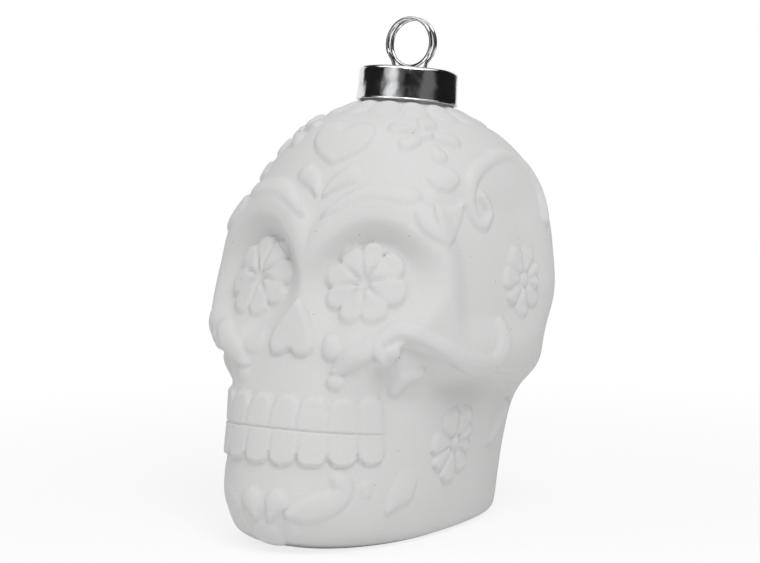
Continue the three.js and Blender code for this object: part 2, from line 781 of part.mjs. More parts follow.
function geometryOf(solid) {
  const mesh = solid.getMesh();
  return closedGeometry(Array.from(mesh.vertProperties), Array.from(mesh.triVerts));
}

function outward(geometry) {
  const plain = new THREE.BufferGeometry();
  plain.setAttribute("position", geometry.getAttribute("position").clone());
  plain.setIndex(geometry.getIndex() ? geometry.getIndex().clone() : null);
  const merged = mergeVertices(plain, headHeight * mergeShare);
  const index = Array.from(merged.getIndex().array);
  const place = merged.getAttribute("position");
  const kept = [];
  let volume = 0;
  for (let start = 0; start < index.length; start += 3) {
    const [a, b, c] = index.slice(start, start + 3);
    if (a !== b && b !== c && c !== a) {
      kept.push([a, b, c]);
      const [p, q, r] = [a, b, c].map((corner) => new THREE.Vector3().fromBufferAttribute(place, corner));
      volume += p.dot(q.cross(r));
    }
  }
  merged.setIndex(kept.flatMap(([a, b, c]) => (volume > 0 ? [a, b, c] : [a, c, b])));
  merged.computeVertexNormals();
  return merged;
}

// Pressed cap: a tapered cup with a rounded top edge, a flared hem and two holes.
const capTopRadius = capRadius - capTaper;
const neckTop = capHeight - capSheet - fitGap;
const neckEdge = fitGap;
const holeRadius = wireDiameter / 2 + holeClearance;
const drillLength = 4 * capSheet;
const drillSteps = capSteps / 3;
const legPlaces = [-1, 1].map((side) => {
  return new THREE.Vector2((side * legSpacing) / 2, (side * turnPitch * ringTurns) / 4);
});

const hemShares = { bulge: 0.7, middle: 0.5, edge: 0.25 };

function cupProfile() {
  const points = [new THREE.Vector2(0, capHeight)];
  const arc = (radius, height, corner, up) => {
    const steps = 5;
    for (let step = 0; step <= steps; step += 1) {
      const turn = ((up ? step : steps - step) * Math.PI) / 2 / steps;
      points.push(new THREE.Vector2(
        radius - corner + corner * Math.cos(turn),
        height - corner + corner * Math.sin(turn),
      ));
    }
  };
  arc(capTopRadius, capHeight, capCorner, false);
  points.push(new THREE.Vector2(capRadius, hemHeight));
  const edge = hemHeight * hemShares.edge;
  points.push(new THREE.Vector2(capRadius + hemFlare * hemShares.bulge, hemHeight * hemShares.middle));
  points.push(new THREE.Vector2(capRadius + hemFlare, edge));
  points.push(new THREE.Vector2(capRadius + hemFlare - edge, 0));
  points.push(new THREE.Vector2(capRadius - capSheet * hemShares.bulge, 0));
  points.push(new THREE.Vector2(capRadius - capSheet, hemHeight));
  arc(capTopRadius - capSheet, capHeight - capSheet, capCorner - capSheet, true);
  points.push(new THREE.Vector2(0, capHeight - capSheet));
  return points;
}

function capGeometry() {
  const cup = new THREE.LatheGeometry(cupProfile(), capSteps).rotateX(Math.PI / 2);
  let solid = solidOf(cup);
  for (const place of legPlaces) {
    const drill = new THREE.CylinderGeometry(holeRadius, holeRadius, drillLength, drillSteps);
    drill.rotateX(Math.PI / 2).translate(place.x, place.y, capHeight);
    solid = solid.subtract(solidOf(drill));
  }
  return geometryOf(solid);
}

// Bow of a leg under the cap: outward and downward shares of the knee's distance from the
// neck's axis, and how far the leg still leans back towards its hole.
const legShares = {
  tipOut: 0.66, tipDown: 1.35, ankleOut: 0.9, ankleDown: 1.11, kneeDown: 0.75, shinDown: 0.31,
};

// Path of the hanger: tip, knee, straight leg, turns of the ring, leg, knee, tip.
function hangerPath() {
  const wire = wireDiameter / 2;
  const ringRadius = ringDiameter / 2 - wire;
  const ringCentre = capHeight + fitGap + ringDiameter / 2;
  const kneeOut = boreRadius - fitGap - wire;
  const straightEnd = capHeight - capSheet - pullLength - fitGap;
  const sweep = 2 * Math.PI * ringTurns;
  const leaveTurn = (Math.PI + sweep) / 2 - Math.PI;
  const coil = [];
  const count = Math.round((sweep / (2 * Math.PI)) * loopSteps);
  for (let step = 0; step <= count; step += 1) {
    const turn = leaveTurn - (sweep * step) / count;
    const along = (sweep * (step / count - 0.5)) / (2 * Math.PI);
    coil.push(new THREE.Vector3(
      ringRadius * Math.cos(turn),
      turnPitch * along,
      ringCentre + ringRadius * Math.sin(turn),
    ));
  }
  const legs = legPlaces.map((place) => {
    const side = Math.sign(place.x);
    const shares = legShares;
    const out = side * kneeOut;
    const nodes = [
      new THREE.Vector3(out * shares.tipOut, place.y / 2, -kneeOut * shares.tipDown),
      new THREE.Vector3(out * shares.ankleOut, place.y / 2, -kneeOut * shares.ankleDown),
      new THREE.Vector3(out, place.y / 2, -kneeOut * shares.kneeDown),
      new THREE.Vector3((out + place.x) / 2, place.y, -kneeOut * shares.shinDown),
      new THREE.Vector3(place.x, place.y, straightEnd),
    ];
    const bow = new THREE.CatmullRomCurve3(nodes, false, "centripetal").getPoints(legSteps);
    return [...bow, new THREE.Vector3(place.x, place.y, capHeight + wireDiameter)];
  });
  const bend = (leg, ringEnd) => {
    const start = leg[leg.length - 1];
    const nodes = [leg[leg.length - 2], start, ringEnd[0], ringEnd[1]];
    return new THREE.CatmullRomCurve3(nodes, false, "centripetal").getPoints(legSteps).slice(5, 9);
  };
  const leftBend = bend(legs[0], coil);
  const rightBend = bend(legs[1], [...coil].reverse());
  return [...legs[0], ...leftBend, ...coil, ...rightBend.reverse(), ...legs[1].reverse()];
}

function leastGapOfPath(path) {
  let least = Infinity;
  const lengths = [0];
  for (let index = 1; index < path.length; index += 1) {
    lengths.push(lengths[index - 1] + path[index].distanceTo(path[index - 1]));
  }
  for (let first = 0; first < path.length; first += 1) {
    for (let second = first + 1; second < path.length; second += 1) {
      if (lengths[second] - lengths[first] > ringDiameter) {
        least = Math.min(least, path[first].distanceTo(path[second]) - wireDiameter);
      }
    }
  }
  return least;
}

// One unbroken round wire along a path, with blunt rounded ends.
const bluntShare = 0.7;

function wireGeometry(path) {
  const positions = [];
  const indices = [];
  const radius = wireDiameter / 2;
  const blunt = radius * bluntShare;
  const tangents = path.map((point, index) => {
    const before = path[Math.max(index - 1, 0)];
    const after = path[Math.min(index + 1, path.length - 1)];
    return new THREE.Vector3().subVectors(after, before).normalize();
  });
  const side = new THREE.Vector3(0, 1, 0);
  const ringAt = (centre, tangent, size) => {
    side.addScaledVector(tangent, -side.dot(tangent)).normalize();
    const other = new THREE.Vector3().crossVectors(tangent, side);
    for (let step = 0; step < wireSides; step += 1) {
      const turn = (step * 2 * Math.PI) / wireSides;
      const corner = centre.clone()
        .addScaledVector(side, size * Math.cos(turn))
        .addScaledVector(other, size * Math.sin(turn));
      positions.push(corner.x, corner.y, corner.z);
    }
  };
  const first = path[0];
  const last = path[path.length - 1];
  const lastTangent = tangents[path.length - 1];
  ringAt(first.clone().addScaledVector(tangents[0], -blunt), tangents[0], blunt);
  path.forEach((point, index) => ringAt(point, tangents[index], radius));
  ringAt(last.clone().addScaledVector(lastTangent, blunt), lastTangent, blunt);
  const rings = path.length + 2;
  for (let ring = 1; ring < rings; ring += 1) {
    for (let step = 0; step < wireSides; step += 1) {
      const next = (step + 1) % wireSides;
      const lower = (ring - 1) * wireSides;
      const upper = ring * wireSides;
      indices.push(lower + step, lower + next, upper + next, lower + step, upper + next, upper + step);
    }
  }
  const tips = [
    first.clone().addScaledVector(tangents[0], -radius),
    last.clone().addScaledVector(lastTangent, radius),
  ];
  tips.forEach((tip, end) => {
    positions.push(tip.x, tip.y, tip.z);
    const start = end === 0 ? 0 : (rings - 1) * wireSides;
    for (let step = 0; step < wireSides; step += 1) {
      const next = (step + 1) % wireSides;
      const pair = end === 0 ? [start + next, start + step] : [start + step, start + next];
      indices.push(...pair, rings * wireSides + end);
    }
  });
  return closedGeometry(positions, indices);
}

function named(name, geometry, settings) {
  const mesh = new THREE.Mesh(geometry, new THREE.MeshStandardMaterial(settings));
  mesh.name = name;
  return mesh;
}

const group = new THREE.Group();
group.name = "sugar_skull";

const shellGroup = new THREE.Group();
shellGroup.name = "moulded_head";
shellGroup.add(named("skull_shell", skullShellGeometry(), { color: 0xe9e8e5, roughness: 0.8 }));
group.add(shellGroup);

// The cap and the hanger share the neck's leaning frame.
const closure = new THREE.Group();
closure.name = "closure";
closure.position.z = headHeight;
closure.rotation.x = -neckLean;
closure.add(named("cap", capGeometry(), { color: 0xc8c9cc, metalness: 1, roughness: 0.15 }));
const path = hangerPath();
closure.add(named("wire_hanger", wireGeometry(path), { color: 0xd2d3d6, metalness: 1, roughness: 0.12 }));
group.add(closure);
console.log(`least gap of the hanger to itself ${leastGapOfPath(path).toFixed(2)} mm`);

export default group;
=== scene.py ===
import math

import bmesh
import bpy
import numpy as np
from mathutils import Matrix, Vector


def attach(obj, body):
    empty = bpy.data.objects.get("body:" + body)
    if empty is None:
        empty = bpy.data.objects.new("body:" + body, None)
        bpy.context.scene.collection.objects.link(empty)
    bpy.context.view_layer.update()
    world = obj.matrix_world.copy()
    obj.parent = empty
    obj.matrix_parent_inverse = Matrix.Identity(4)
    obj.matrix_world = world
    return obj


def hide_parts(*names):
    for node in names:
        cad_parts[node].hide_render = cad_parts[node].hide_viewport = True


bl_info = {
    "name": "Moulded Sugar Skull",
    "version": (1, 0, 0),
    "blender": (4, 5, 0),
    "location": "3D View > Sidebar > Sugar Skull",
    "description": "Builds a white moulded sugar skull with its metal cap, hanging ring and stage",
    "category": "Add Mesh",
}

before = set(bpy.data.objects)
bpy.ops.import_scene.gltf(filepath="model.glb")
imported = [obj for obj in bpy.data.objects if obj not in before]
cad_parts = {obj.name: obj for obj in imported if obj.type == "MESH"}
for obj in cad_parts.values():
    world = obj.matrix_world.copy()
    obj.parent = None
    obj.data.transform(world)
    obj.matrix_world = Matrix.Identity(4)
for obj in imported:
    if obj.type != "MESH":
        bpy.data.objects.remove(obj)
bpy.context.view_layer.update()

MM = 0.001
DEGREE = math.pi / 180
TINY = 1e-12
# How far round a shape points are looked at, in its own size.
MARGIN = 1.2
# Millimetres under which two vertices become one.
WELD = 0.001

# Loft of the head from the neck's root down to the base, in hundredths of the head's height:
# front point (y, z), back point (y, z), half width, place of the widest part, squareness of
# the front and of the back. The first row is the neck's foot.
LOFT_SHARES = (
    (-16, 99.5, 15.5, 95, 15, 0.5, 2, 2),
    (-25, 96.5, 23.5, 91, 22, 0.52, 2, 2),
    (-31.5, 89, 29, 83.5, 29, 0.54, 2.3, 2),
    (-38.5, 78.5, 31.5, 73.5, 34, 0.55, 2.55, 2),
    (-43.5, 68.5, 31.5, 63, 36.5, 0.55, 2.75, 2),
    (-46.5, 57.5, 30.5, 53.5, 37.5, 0.55, 2.9, 2),
    (-49.5, 48, 28.5, 44, 36, 0.53, 2.9, 2),
    (-53, 38.5, 27.5, 35, 31.5, 0.55, 2.5, 2.2),
    (-56.5, 29, 26, 27.5, 27, 0.54, 2.4, 2.4),
    (-59.5, 19, 25, 18.5, 25, 0.5, 2.4, 2.5),
    (-61.5, 11, 24.5, 10.5, 24, 0.48, 2.3, 2.5),
    (-59.5, 4.5, 24, 3.5, 23, 0.47, 2.2, 2.5),
    (-55, 1.5, 23, 1, 22, 0.47, 2.2, 2.5),
    (-50, 0, 21, 0, 19.5, 0.47, 2.2, 2.4),
)
LAST_LEVEL = len(LOFT_SHARES)
# Levels between which the broad forms come up, from the crown and from the base.
CROWN_LEVELS, BASE_LEVELS = (0, 1.2), (14, 11.8)
# Middle of the neck's foot, and how high the loft's first row is there.
NECK_FOOT = (0, 0, 100)
NECK_ROOT_SHARE = 99.6

# Levels of the cavity's rings over its floor, and the rings of the floor from the middle out:
# level, and distance in and height in thicknesses of the wall.
CAVITY_LEVELS = (11, 10.3, 9.6, 9, 8.4, 7.6, 6.7, 5.8, 4.9, 4, 3.1, 2.2, 1.5)
FLOOR_RINGS = ((13.4, 2.4, 1), (13, 1.7, 1.25))
# Rings of the base, in shares of its edge.
BASE_RINGS = (0.97, 0.5)
# Rounded rim of the neck, from the side to the top in clearances: out of the wall and down.
NECK_RIM = ((0, 1), (0.3, 0.3), (1, 0))
# Where the bore ends, in thicknesses of the wall under the neck's foot, and where the neck's
# outside starts, as a share of the neck's height.
BORE_FOOT = 1.25
NECK_START = 0.4

# Columns and rows of the outside. The columns are closer on the face than on the back: a share
# of the turn is even, and the rest of it grows with a power.
COLUMNS, ROWS = 400, 208
EVEN_COLUMNS = 0.72
CROWDING = 11

# Eye socket: middle, half sizes, depth, share of them that the floor takes, where the wall ends
# below and above, share of the depth at its lower end, and the heights in it between which the
# depth and the edge change.
SOCKET_SHARES = {
    "x": 15.8, "z": 61.5, "wide": 13.6, "high": 14.5, "depth": 4.8,
    "floor": 0.7, "edge_below": 1.2, "edge_above": 1, "shallowest": 0.38,
    "deepens": (-0.9, 0.75), "narrows": (-0.2, 0.8),
}
# Brow over the socket and rim beside it: rise, distance and width in the socket's half sizes,
# and the directions between which they come up.
BROW_SHARES = (1.2, 1.2, 0.2, (0, 0.75))
RIM_SHARES = (0.9, 1.17, 0.18, (0.5, 0.95))
# Where the face, and the hollow of the temple on each of its sides, start and are full.
FACE_SHARES = (-13, -29)
TEMPLE_SHARES = {
    "depth": 2.3, "side": (22, 30), "front": (-33, -26), "back": (15, -4), "below": (45, 54),
    "above": (86, 75),
}
# Hollow beside the nose: depth, x and z of its middle, width and height.
NOSE_SIDE_SHARES = (0.8, 10.4, 44, 4.4, 5.5)
# Lines along the cheekbone and the hollow under it; then height and width of both.
CHEEK_SHARES = (
    (16, -49, 47), (24, -43, 46), (30, -33, 44), (33, -20, 42), (34, -4, 40.5), (31, 9, 38.5))
UNDER_CHEEK_SHARES = ((23, -43, 35.5), (27, -31, 35.5), (30, -15, 35.5), (28, 0, 31.5))
CHEEK_FORMS = ((1.65, 5.5, CHEEK_SHARES), (-2, 5.3, UNDER_CHEEK_SHARES))
# Upper edge of the hollow under the cheekbone: angle, level and depth; then how many levels its
# wall takes, and between which levels under the edge it ends.
LEDGE_SHARES = (
    (0, 7.4, 0), (24, 7.4, 0), (28, 7.36, 0.9), (31, 7.3, 1.5), (34, 7.15, 2.1),
    (37, 6.88, 2.5), (43, 7, 2.6), (50, 7.25, 2.4), (56, 7.45, 2.1), (64, 7.64, 2.1),
    (72, 7.7, 1.9), (84, 7.72, 1.3), (100, 7.85, 0.4), (120, 8, 0), (180, 8, 0),
)
LEDGE_WALL = 0.2
LEDGE_FALL = (0.22, 1.2)

# Steps between two places of a smooth line on the head, and steps of the finer searches.
LINE_STEPS = 6
FINE_STEPS = {"rows": 1400, "bite": 200, "collar": 240}

# Raised strokes: rise, edge softness, then nodes of angle in degrees, level and half width.
STROKE_SHARES = {
    "forehead_drop": (
        0.9, 0.7, (1.4, 3.85, 0.4), (3.2, 3.67, 1.4), (6, 3.53, 2.3), (9.8, 3.4, 2.6)),
    "brow": (
        0.95, 0.7, (4.2, 4.3, 0.5), (8, 4.1, 1.3), (12, 3.91, 1.9), (17, 3.76, 2.4),
        (23, 3.71, 2.6), (29, 3.75, 2.8), (33, 3.78, 2.8),
    ),
    "temple_scroll": (
        1.1, 0.6, (63.5, 3.69, 1.3), (67.3, 3.95, 1.4), (66, 4.17, 1.4), (63.2, 4.28, 1.6),
        (59.5, 4.13, 1.5), (57.2, 3.8, 1.6), (57.6, 3.47, 1.8), (60.9, 3.22, 1.9), (67, 3.02, 1.8),
        (75, 2.85, 1.8), (86, 2.74, 1.8), (96, 2.78, 1.8), (103, 3.05, 1.8), (108, 3.5, 1.8),
        (108, 3.85, 1.8), (106.5, 4.2, 1.5),
    ),
    "crown_petal_front": (0.9, 0.5, (34.5, 2.18, 0.9), (25.5, 2.13, 1.7)),
    "crown_petal_low": (0.9, 0.5, (35.6, 2.5, 1.3), (31, 2.6, 2.2)),
    "crown_petal_down": (0.9, 0.5, (43, 2.68, 1.3), (44.5, 2.88, 2.2)),
    "crown_petal_back": (0.9, 0.5, (48, 2.41, 1.3), (54.5, 2.42, 2.2)),
    "crown_petal_up": (0.9, 0.5, (40, 2.08, 1.2), (43.5, 1.85, 2.5)),
    "crown_bud": (1, 0.6, (39.5, 2.32, 1.4), (42, 2.3, 1.4)),
    "nose_drop": (0.9, 0.6, (12.6, 6.82, 0.5), (13.5, 7.01, 1.7), (14.6, 7.19, 2.4)),
    "lip_ball": (1, 0.5, (16.4, 7.9, 1.9), (16.9, 7.9, 1.9)),
    "lip_scroll": (
        0.9, 0.5, (15.5, 7.7, 0.3), (17.5, 7.66, 0.9), (19.5, 7.56, 1.3),
        (22.5, 7.41, 1.6), (25.7, 7.25, 1.6), (28, 7.05, 1.6), (30, 6.91, 1.4),
    ),
    "cheek_scroll": (
        1.25, 0.5, (33.5, 7.34, 0.8), (31.5, 7.37, 1), (29.4, 7.2, 1.2), (29.2, 7.05, 1.3),
        (30, 6.91, 1.5), (32.4, 6.72, 1.8), (35, 6.67, 1.85), (38.5, 6.71, 1.75), (43.2, 6.86, 1.5),
        (50, 7.08, 1.7), (56, 7.29, 1.9), (64, 7.51, 2.4), (71, 7.57, 2.6), (76.5, 7.43, 2.6),
        (79, 7.15, 2.4), (78.6, 6.92, 2.2), (77, 6.72, 1.9),
    ),
    "cheek_ball": (1.1, 0.5, (33.6, 7.16, 1.9), (33, 7.16, 1.9)),
    "low_scroll": (
        1, 0.6, (36, 8.12, 1.8), (36.4, 8.02, 1.9), (37.8, 7.9, 1.8), (40.2, 7.8, 1.6),
        (44, 7.74, 1.2),
    ),
    "chin_dome": (0.9, 0.4, (0, 12.25, 4.1), (0, 12.05, 4.1)),
    "chin_petal": (0.9, 0.5, (2.3, 11.33, 0.6), (4.6, 10.8, 3)),
    "chin_tab": (0.4, 0.8, (9.4, 11.25, 0.4), (9.6, 11.75, 2.4)),
    "chin_comma": (
        0.9, 0.5, (8, 11.17, 0.4), (10.9, 11.15, 1.3), (14.1, 11.12, 2.1), (17.5, 11.05, 2.5),
        (20.9, 10.93, 2.5), (24, 10.78, 2.2), (26, 10.55, 1.9), (25.4, 10.33, 1.9),
        (23.3, 10.2, 1.7),
    ),
    "chin_bump": (0.5, 1, (33.2, 10.43, 1.8), (34.2, 10.6, 1.4)),
    "jaw_leaf": (0.8, 0.9, (43.8, 11.27, 0.5), (48.5, 10.95, 2.2), (53, 10.75, 3.2)),
    "nape_leaf": (0.9, 0.5, (123, 8.9, 0.6), (126, 9.3, 2.2), (125, 9.55, 1.8), (121, 9.9, 0.5)),
}
# How much wider a stroke's upper side runs out into the cheek.
FLUSH_SHARES = {
    "lip_scroll": 1.6, "cheek_scroll": 0.6, "low_scroll": 0.3, "nose_drop": 0.2, "chin_comma": 0.5,
    "jaw_leaf": 0.8,
}
# How much of its rise a stroke keeps on the far side, where the mould is worn flatter.
FAR_SHARES = {
    "cheek_scroll": 0.3, "cheek_ball": 0.3, "chin_comma": 0.35, "lip_ball": 0.4, "nose_drop": 0.5,
}
# Pressed-in strokes: depth, edge softness and nodes.
GROOVE_SHARES = {
    "hook_slot": (0.5, 1, (41.7, 3.99, 0.8), (41.5, 4.17, 0.8), (42.4, 4.36, 0.6)),
}

# Raised pillows: rise, width of the rounded edge, then places (angle, level) along the edge.
# A heart holds one half of its edge, from the notch down to the tip.
HEART_SHARES = {
    "forehead_heart": (
        0.9, 1.6, (0, 2.24), (4, 2.07), (9, 2), (14, 2.08), (16.3, 2.35), (14, 2.7), (9, 2.95),
        (4, 3.11), (0, 3.2)),
    "nose_heart": (
        1.3, 1.3, (0, 7.24), (2, 7.34), (4.2, 7.38), (6.6, 7.33), (8, 7.1), (7, 6.75), (4.9, 6.45),
        (2.6, 6.22), (0, 6.06)),
}
PILLOW_SHARES = {
    "half_moon": (
        0.9, 1.4, (38.7, 3.4), (41.5, 3.59), (45.5, 3.64), (49.5, 3.58), (52.5, 3.36), (48.3, 3.18),
        (43, 3.27)),
    "brow_hook": (
        0.9, 1.6, (34.3, 4.1), (36.5, 3.96), (41.5, 3.94), (47, 3.9), (54.5, 3.77), (53.8, 4.07),
        (51.1, 4.42), (48.2, 4.72), (46, 4.83), (42.5, 4.75), (38.5, 4.58), (35.5, 4.34)),
}
# How much of a pillow's rise is a dome over its flat top.
DOME_SHARE = 0.1

# Flowers: place (angle, level), radius and kind of petals. The petals have a rise, each one's
# turn and reach, how far the outline dips between two, how deep the creases between them are
# in the middle and outside and how wide, the radius of the bud, how cupped and round they are,
# and how far the flower tilts out at its top.
EYE_PETAL_SHARES = {
    "rise": 1.3, "tilt": 0.5, "dip": 0.28, "creases": (0.6, 0.12), "crease": 0.045, "bud": 0,
    "cup": 0.12, "round": 0.15,
    "turns": (-12, 40, 83, 119, 166, 210, 250, 294), "reaches": (1, 1, 1, 1, 1, 1, 1, 1),
}
SIDE_PETAL_SHARES = {
    "rise": 0.85, "tilt": 0, "dip": 0.32, "creases": (0.8, 0.5), "crease": 0.06, "bud": 0.2,
    "cup": 0, "round": 0.35,
    "turns": (-15, 21, 59, 114, 180, 209, 256, 310),
    "reaches": (0.75, 0.82, 1, 1, 1.05, 1, 1.05, 0.95),
}
# In radii of the flower: width of a petal's rounded edge, where the creases change from their
# middle to their outside depth, place and width of the cup. In radii of the bud: how wide the
# hollow round it is. In half petals: width of the cup, and squareness of the outline.
PETAL_SHARES = {
    "edge": 0.14, "fades": (0.2, 0.62), "cup_at": 0.66, "cup_long": 0.16, "bud_hollow": 1.6,
    "cup_wide": 0.6, "scallop": 0.98,
}
FLOWER_SHARES = {
    "eye": ((20.2, 5.6), 10.1, EYE_PETAL_SHARES),
    "jaw": ((80.4, 9.64), 9.2, SIDE_PETAL_SHARES),
    "temple": ((88.5, 5.54), 8.6, SIDE_PETAL_SHARES),
}
# Teeth: width along the arc, rise, depth and width of the crease between two teeth, height and
# level of the bite line, how much it falls from the middle to the last tooth and at most, height
# and width of the step at the bite, where the rounded root starts, where the row fades out past
# the last tooth, and how far back teeth are looked for.
# Rows: level and height of the root, softness of the root, and how far the row is shifted.
TOOTH_SHARES = {
    "width": 6.85, "rise": 1, "crease": 0.35, "crease_from": 0.78, "bite": 28.4, "level": 9,
    "fall": 1.5, "most_fall": 1.2, "step": 0.6, "step_wide": 0.4, "rooted": 0.62,
    "fade": (1.05, 0.93), "back": -25,
}
ROOT_POWERS = (2.6, 2.2, 2.3)
TOOTH_ROWS = ((8.6, 35.9, 0.35, -1.4), (9.4, 20.5, 0.12, -0.1))
TEETH_PER_SIDE = 4
# Place in the jaw from which the teeth's directions run, and how far round and in how many steps
# on each side the arc is measured.
JAW_SHARE = 10
ARC_REACH, ARC_STEPS = 1.8, 900
# Levels of further rows at the bite line; where round the head the rows stop following it, and
# how many levels up and down they are bent and looked for.
BITE_STEPS = (-0.05, -0.028, -0.012, 0.012, 0.028, 0.05)
BITE_ENDS = (1.4, 1.1)
BITE_SPREAD, BITE_SEARCH = 0.8, 1
# Angles along which the rows are spaced evenly.
EVEN_ANGLES = (0, 50, 90)
# Collar of petals round the neck: how many, distance of each one's ends from the neck's axis and
# half widths there, rise, and how far down they are looked for.
COLLAR_SHARES = {
    "count": 14, "near": 14.2, "far": 16.2, "near_half": 3.2, "far_half": 3.7, "rise": 0.8,
    "levels": 3,
}

# Hem of the cap from its top round to the inside: out in flares, or in by sheets; up in hems.
HEM_OUTSIDE = ((0, 1.25), (0.1, 1.08), (0.65, 0.86), (0.97, 0.55), (1, 0.3), (0.85, 0.08), (0.5, 0))
HEM_INSIDE = ((0.7, 0), (0.95, 0.3), (1, 1))
HOLE_MARGIN = 0.3

# Bow of a leg in the neck, from its foot to the knee: out and down in the knee's distance from
# the middle; then how far down it is halfway to the straight leg.
KNEE_SHARES = ((0.66, 1.35), (0.9, 1.11), (1, 0.75))
KNEE_TOP_SHARE = 0.31
COIL_STEPS, LEG_STEPS = 150, 60
# Part of the bend between a leg and the ring that is drawn, and its steps.
BEND_SPAN = (1.1, 1.9, 9)
# Thickness of the wire at its two last places.
TIP_SHARES = (0.35, 0.8)

# Soft lamps: name, place and width in metres, and power.
LAMPS = (
    ("key", (0.59, -0.5, 0.97), 0.7, 5.75),
    ("top", (0, -0.1, 1.25), 0.6, 0.7),
    ("left", (-0.5, -0.59, 0.97), 0.8, 2.2),
    ("side", (0.76, 0.13, 0.97), 0.8, 1),
)
LAMP_TARGET = (0, -0.01, 0.05)
# How bright the white world is as a light, where its picture is 1.
WORLD_LIGHT = 0.39
# How white the camera sees the floor near the object, and between which distances it turns white.
NEAR_WHITE = 0.8
WHITE_FROM = (0.08, 0.22)

# Cards round the object that only metal mirrors: name, directions in degrees from the
# camera's, lower and upper edge in metres, and shade.
CARDS = (
    ("card_left", -125, -56, 0.005, 0.6, 0.02),
    ("card_grey_left", -30, -12, 0.005, 0.6, 0.2),
    ("card_front", -12, 30, 0.005, 0.6, 0.02),
    ("card_grey_right", 30, 64, 0.005, 0.6, 0.25),
    ("card_right", 64, 150, 0.005, 0.6, 0.02),
    ("card_back", 150, 235, 0.3, 0.9, 0.05),
)
CARD_DISTANCE = 0.5


def size(label, text, default, least, most):
    return bpy.props.FloatProperty(
        name=label, description=text, default=default * MM, min=least * MM, max=most * MM,
        unit="LENGTH", subtype="DISTANCE", precision=5)


def tint(label, text, default):
    return bpy.props.FloatVectorProperty(
        name=label, description=text, default=default, min=0, max=1, size=3, subtype="COLOR")


class SkullSizes(bpy.types.PropertyGroup):
    head: size("Head height", "Height from the base to the foot of the neck", 91, 40, 200)
    wall: size("Wall", "Thickness of the moulded wall", 3.2, 1.5, 8)
    neck: size("Neck radius", "Outside radius of the neck", 10, 5, 20)
    bore: size("Bore radius", "Inside radius of the neck", 7.2, 3, 16)
    relief: bpy.props.FloatProperty(
        name="Relief", description="Height of the raised work against the real one",
        default=1, min=0, max=2, subtype="FACTOR")
    bisque: tint("Bisque", "Colour of the unglazed body", (0.72, 0.72, 0.715))
    # Colour of the painted shade inside the pinholes.
    shaded_pinhole: tint("Pinhole", "Colour inside the pinholes", (0.36, 0.35, 0.34))


class CapSizes(bpy.types.PropertyGroup):
    radius: size("Radius", "Radius of the cap at its hem", 11.1, 6, 20)
    taper: size("Taper", "How much narrower the top is", 0.25, 0, 2)
    height: size("Height", "Height of the cap", 7.4, 3, 20)
    sheet: size("Sheet", "Thickness of the pressed sheet", 0.45, 0.2, 1)
    corner: size("Corner", "Radius of the rounded top edge", 0.9, 0.5, 2)
    flare: size("Flare", "How far the hem stands out", 0.18, 0, 1)
    hem: size("Hem", "Height of the hem", 0.35, 0.2, 2)
    plating: tint("Plating", "Colour of the bright plating", (0.72, 0.725, 0.735))


class HangerSizes(bpy.types.PropertyGroup):
    wire: size("Wire", "Diameter of the wire", 0.84, 0.3, 2)
    ring: size("Ring", "Outside diameter of the ring", 11.4, 5, 25)
    pitch: size("Pitch", "Distance from one turn to the next", 1.9, 1, 4)
    legs: size("Legs", "Distance between the legs", 7.1, 3, 12)
    pull: size("Pull", "How far the ring can be drawn up", 4.5, 1, 10)
    gap: size("Gap", "Clearance between the fitted pieces", 0.33, 0.1, 1)
    turns: bpy.props.FloatProperty(
        name="Turns", description="Turns of wire in the ring", default=5 / 3, min=1, max=4)
    wire_colour: tint("Wire colour", "Colour of the bright wire", (0.6, 0.6, 0.615))


class StageSizes(bpy.types.PropertyGroup):
    lean: bpy.props.FloatProperty(
        name="Neck lean", description="How far the neck leans back",
        default=8.4 * DEGREE, subtype="ANGLE", unit="ROTATION")
    azimuth: bpy.props.FloatProperty(
        name="Azimuth", description="Camera's turn from the front towards the skull's left",
        default=32.5 * DEGREE, subtype="ANGLE", unit="ROTATION")
    elevation: bpy.props.FloatProperty(
        name="Elevation", description="Camera's height above level",
        default=6.5 * DEGREE, subtype="ANGLE", unit="ROTATION")
    distance: size("Distance", "Distance from the camera to its target", 600, 200, 3000)
    target: bpy.props.FloatVectorProperty(
        name="Target", description="Point the camera looks at",
        default=(-2.552 * MM, -6.885 * MM, 52.07 * MM), subtype="XYZ", unit="LENGTH")
    lens: bpy.props.FloatProperty(
        name="Lens", description="Focal length on a 36 mm sensor, in millimetres",
        default=129.17, min=10)
    floor: tint("Floor", "Colour of the floor", (0.97, 0.97, 0.97))


# Shapes

def ramp(start, end, value):
    share = np.clip((value - start) / (end - start), 0, 1)
    return share * share * (3 - 2 * share)


def bump(value):
    return np.exp(-value * value)


def flow(nodes, places):
    """Rows of a table read between its nodes, on a smooth curve through them."""
    table = np.asarray(nodes, float)
    last = len(table) - 1
    first = np.clip(np.floor(places).astype(int), 0, last - 1)
    share = (places - first)[..., None]
    before, start, end, after = (table[np.clip(first + step, 0, last)] for step in (-1, 0, 1, 2))
    bend = 2 * before - 5 * start + 4 * end - after
    twist = 3 * start - before - 3 * end + after
    return start + 0.5 * share * (end - before + share * (bend + share * twist))


def from_segment(points, start, end):
    """How far points are off the nearest place of a segment, and how far along it that is."""
    ahead = end - start
    share = np.clip((points - start) @ ahead / max(ahead @ ahead, TINY), 0, 1)
    return points - start - share[..., None] * ahead, share


def distance_to_line(points, nodes):
    best = np.full(points.shape[:-1], np.inf)
    nodes = np.asarray(nodes, float)
    for start, end in zip(nodes, nodes[1:]):
        offset, share = from_segment(points, start, end)
        best = np.minimum(best, np.linalg.norm(offset, axis=-1))
    return best


def runs_along(line):
    """How far a line of places has run at each of them."""
    return np.concatenate([[0], np.cumsum(np.linalg.norm(np.diff(line, axis=0), axis=1))])


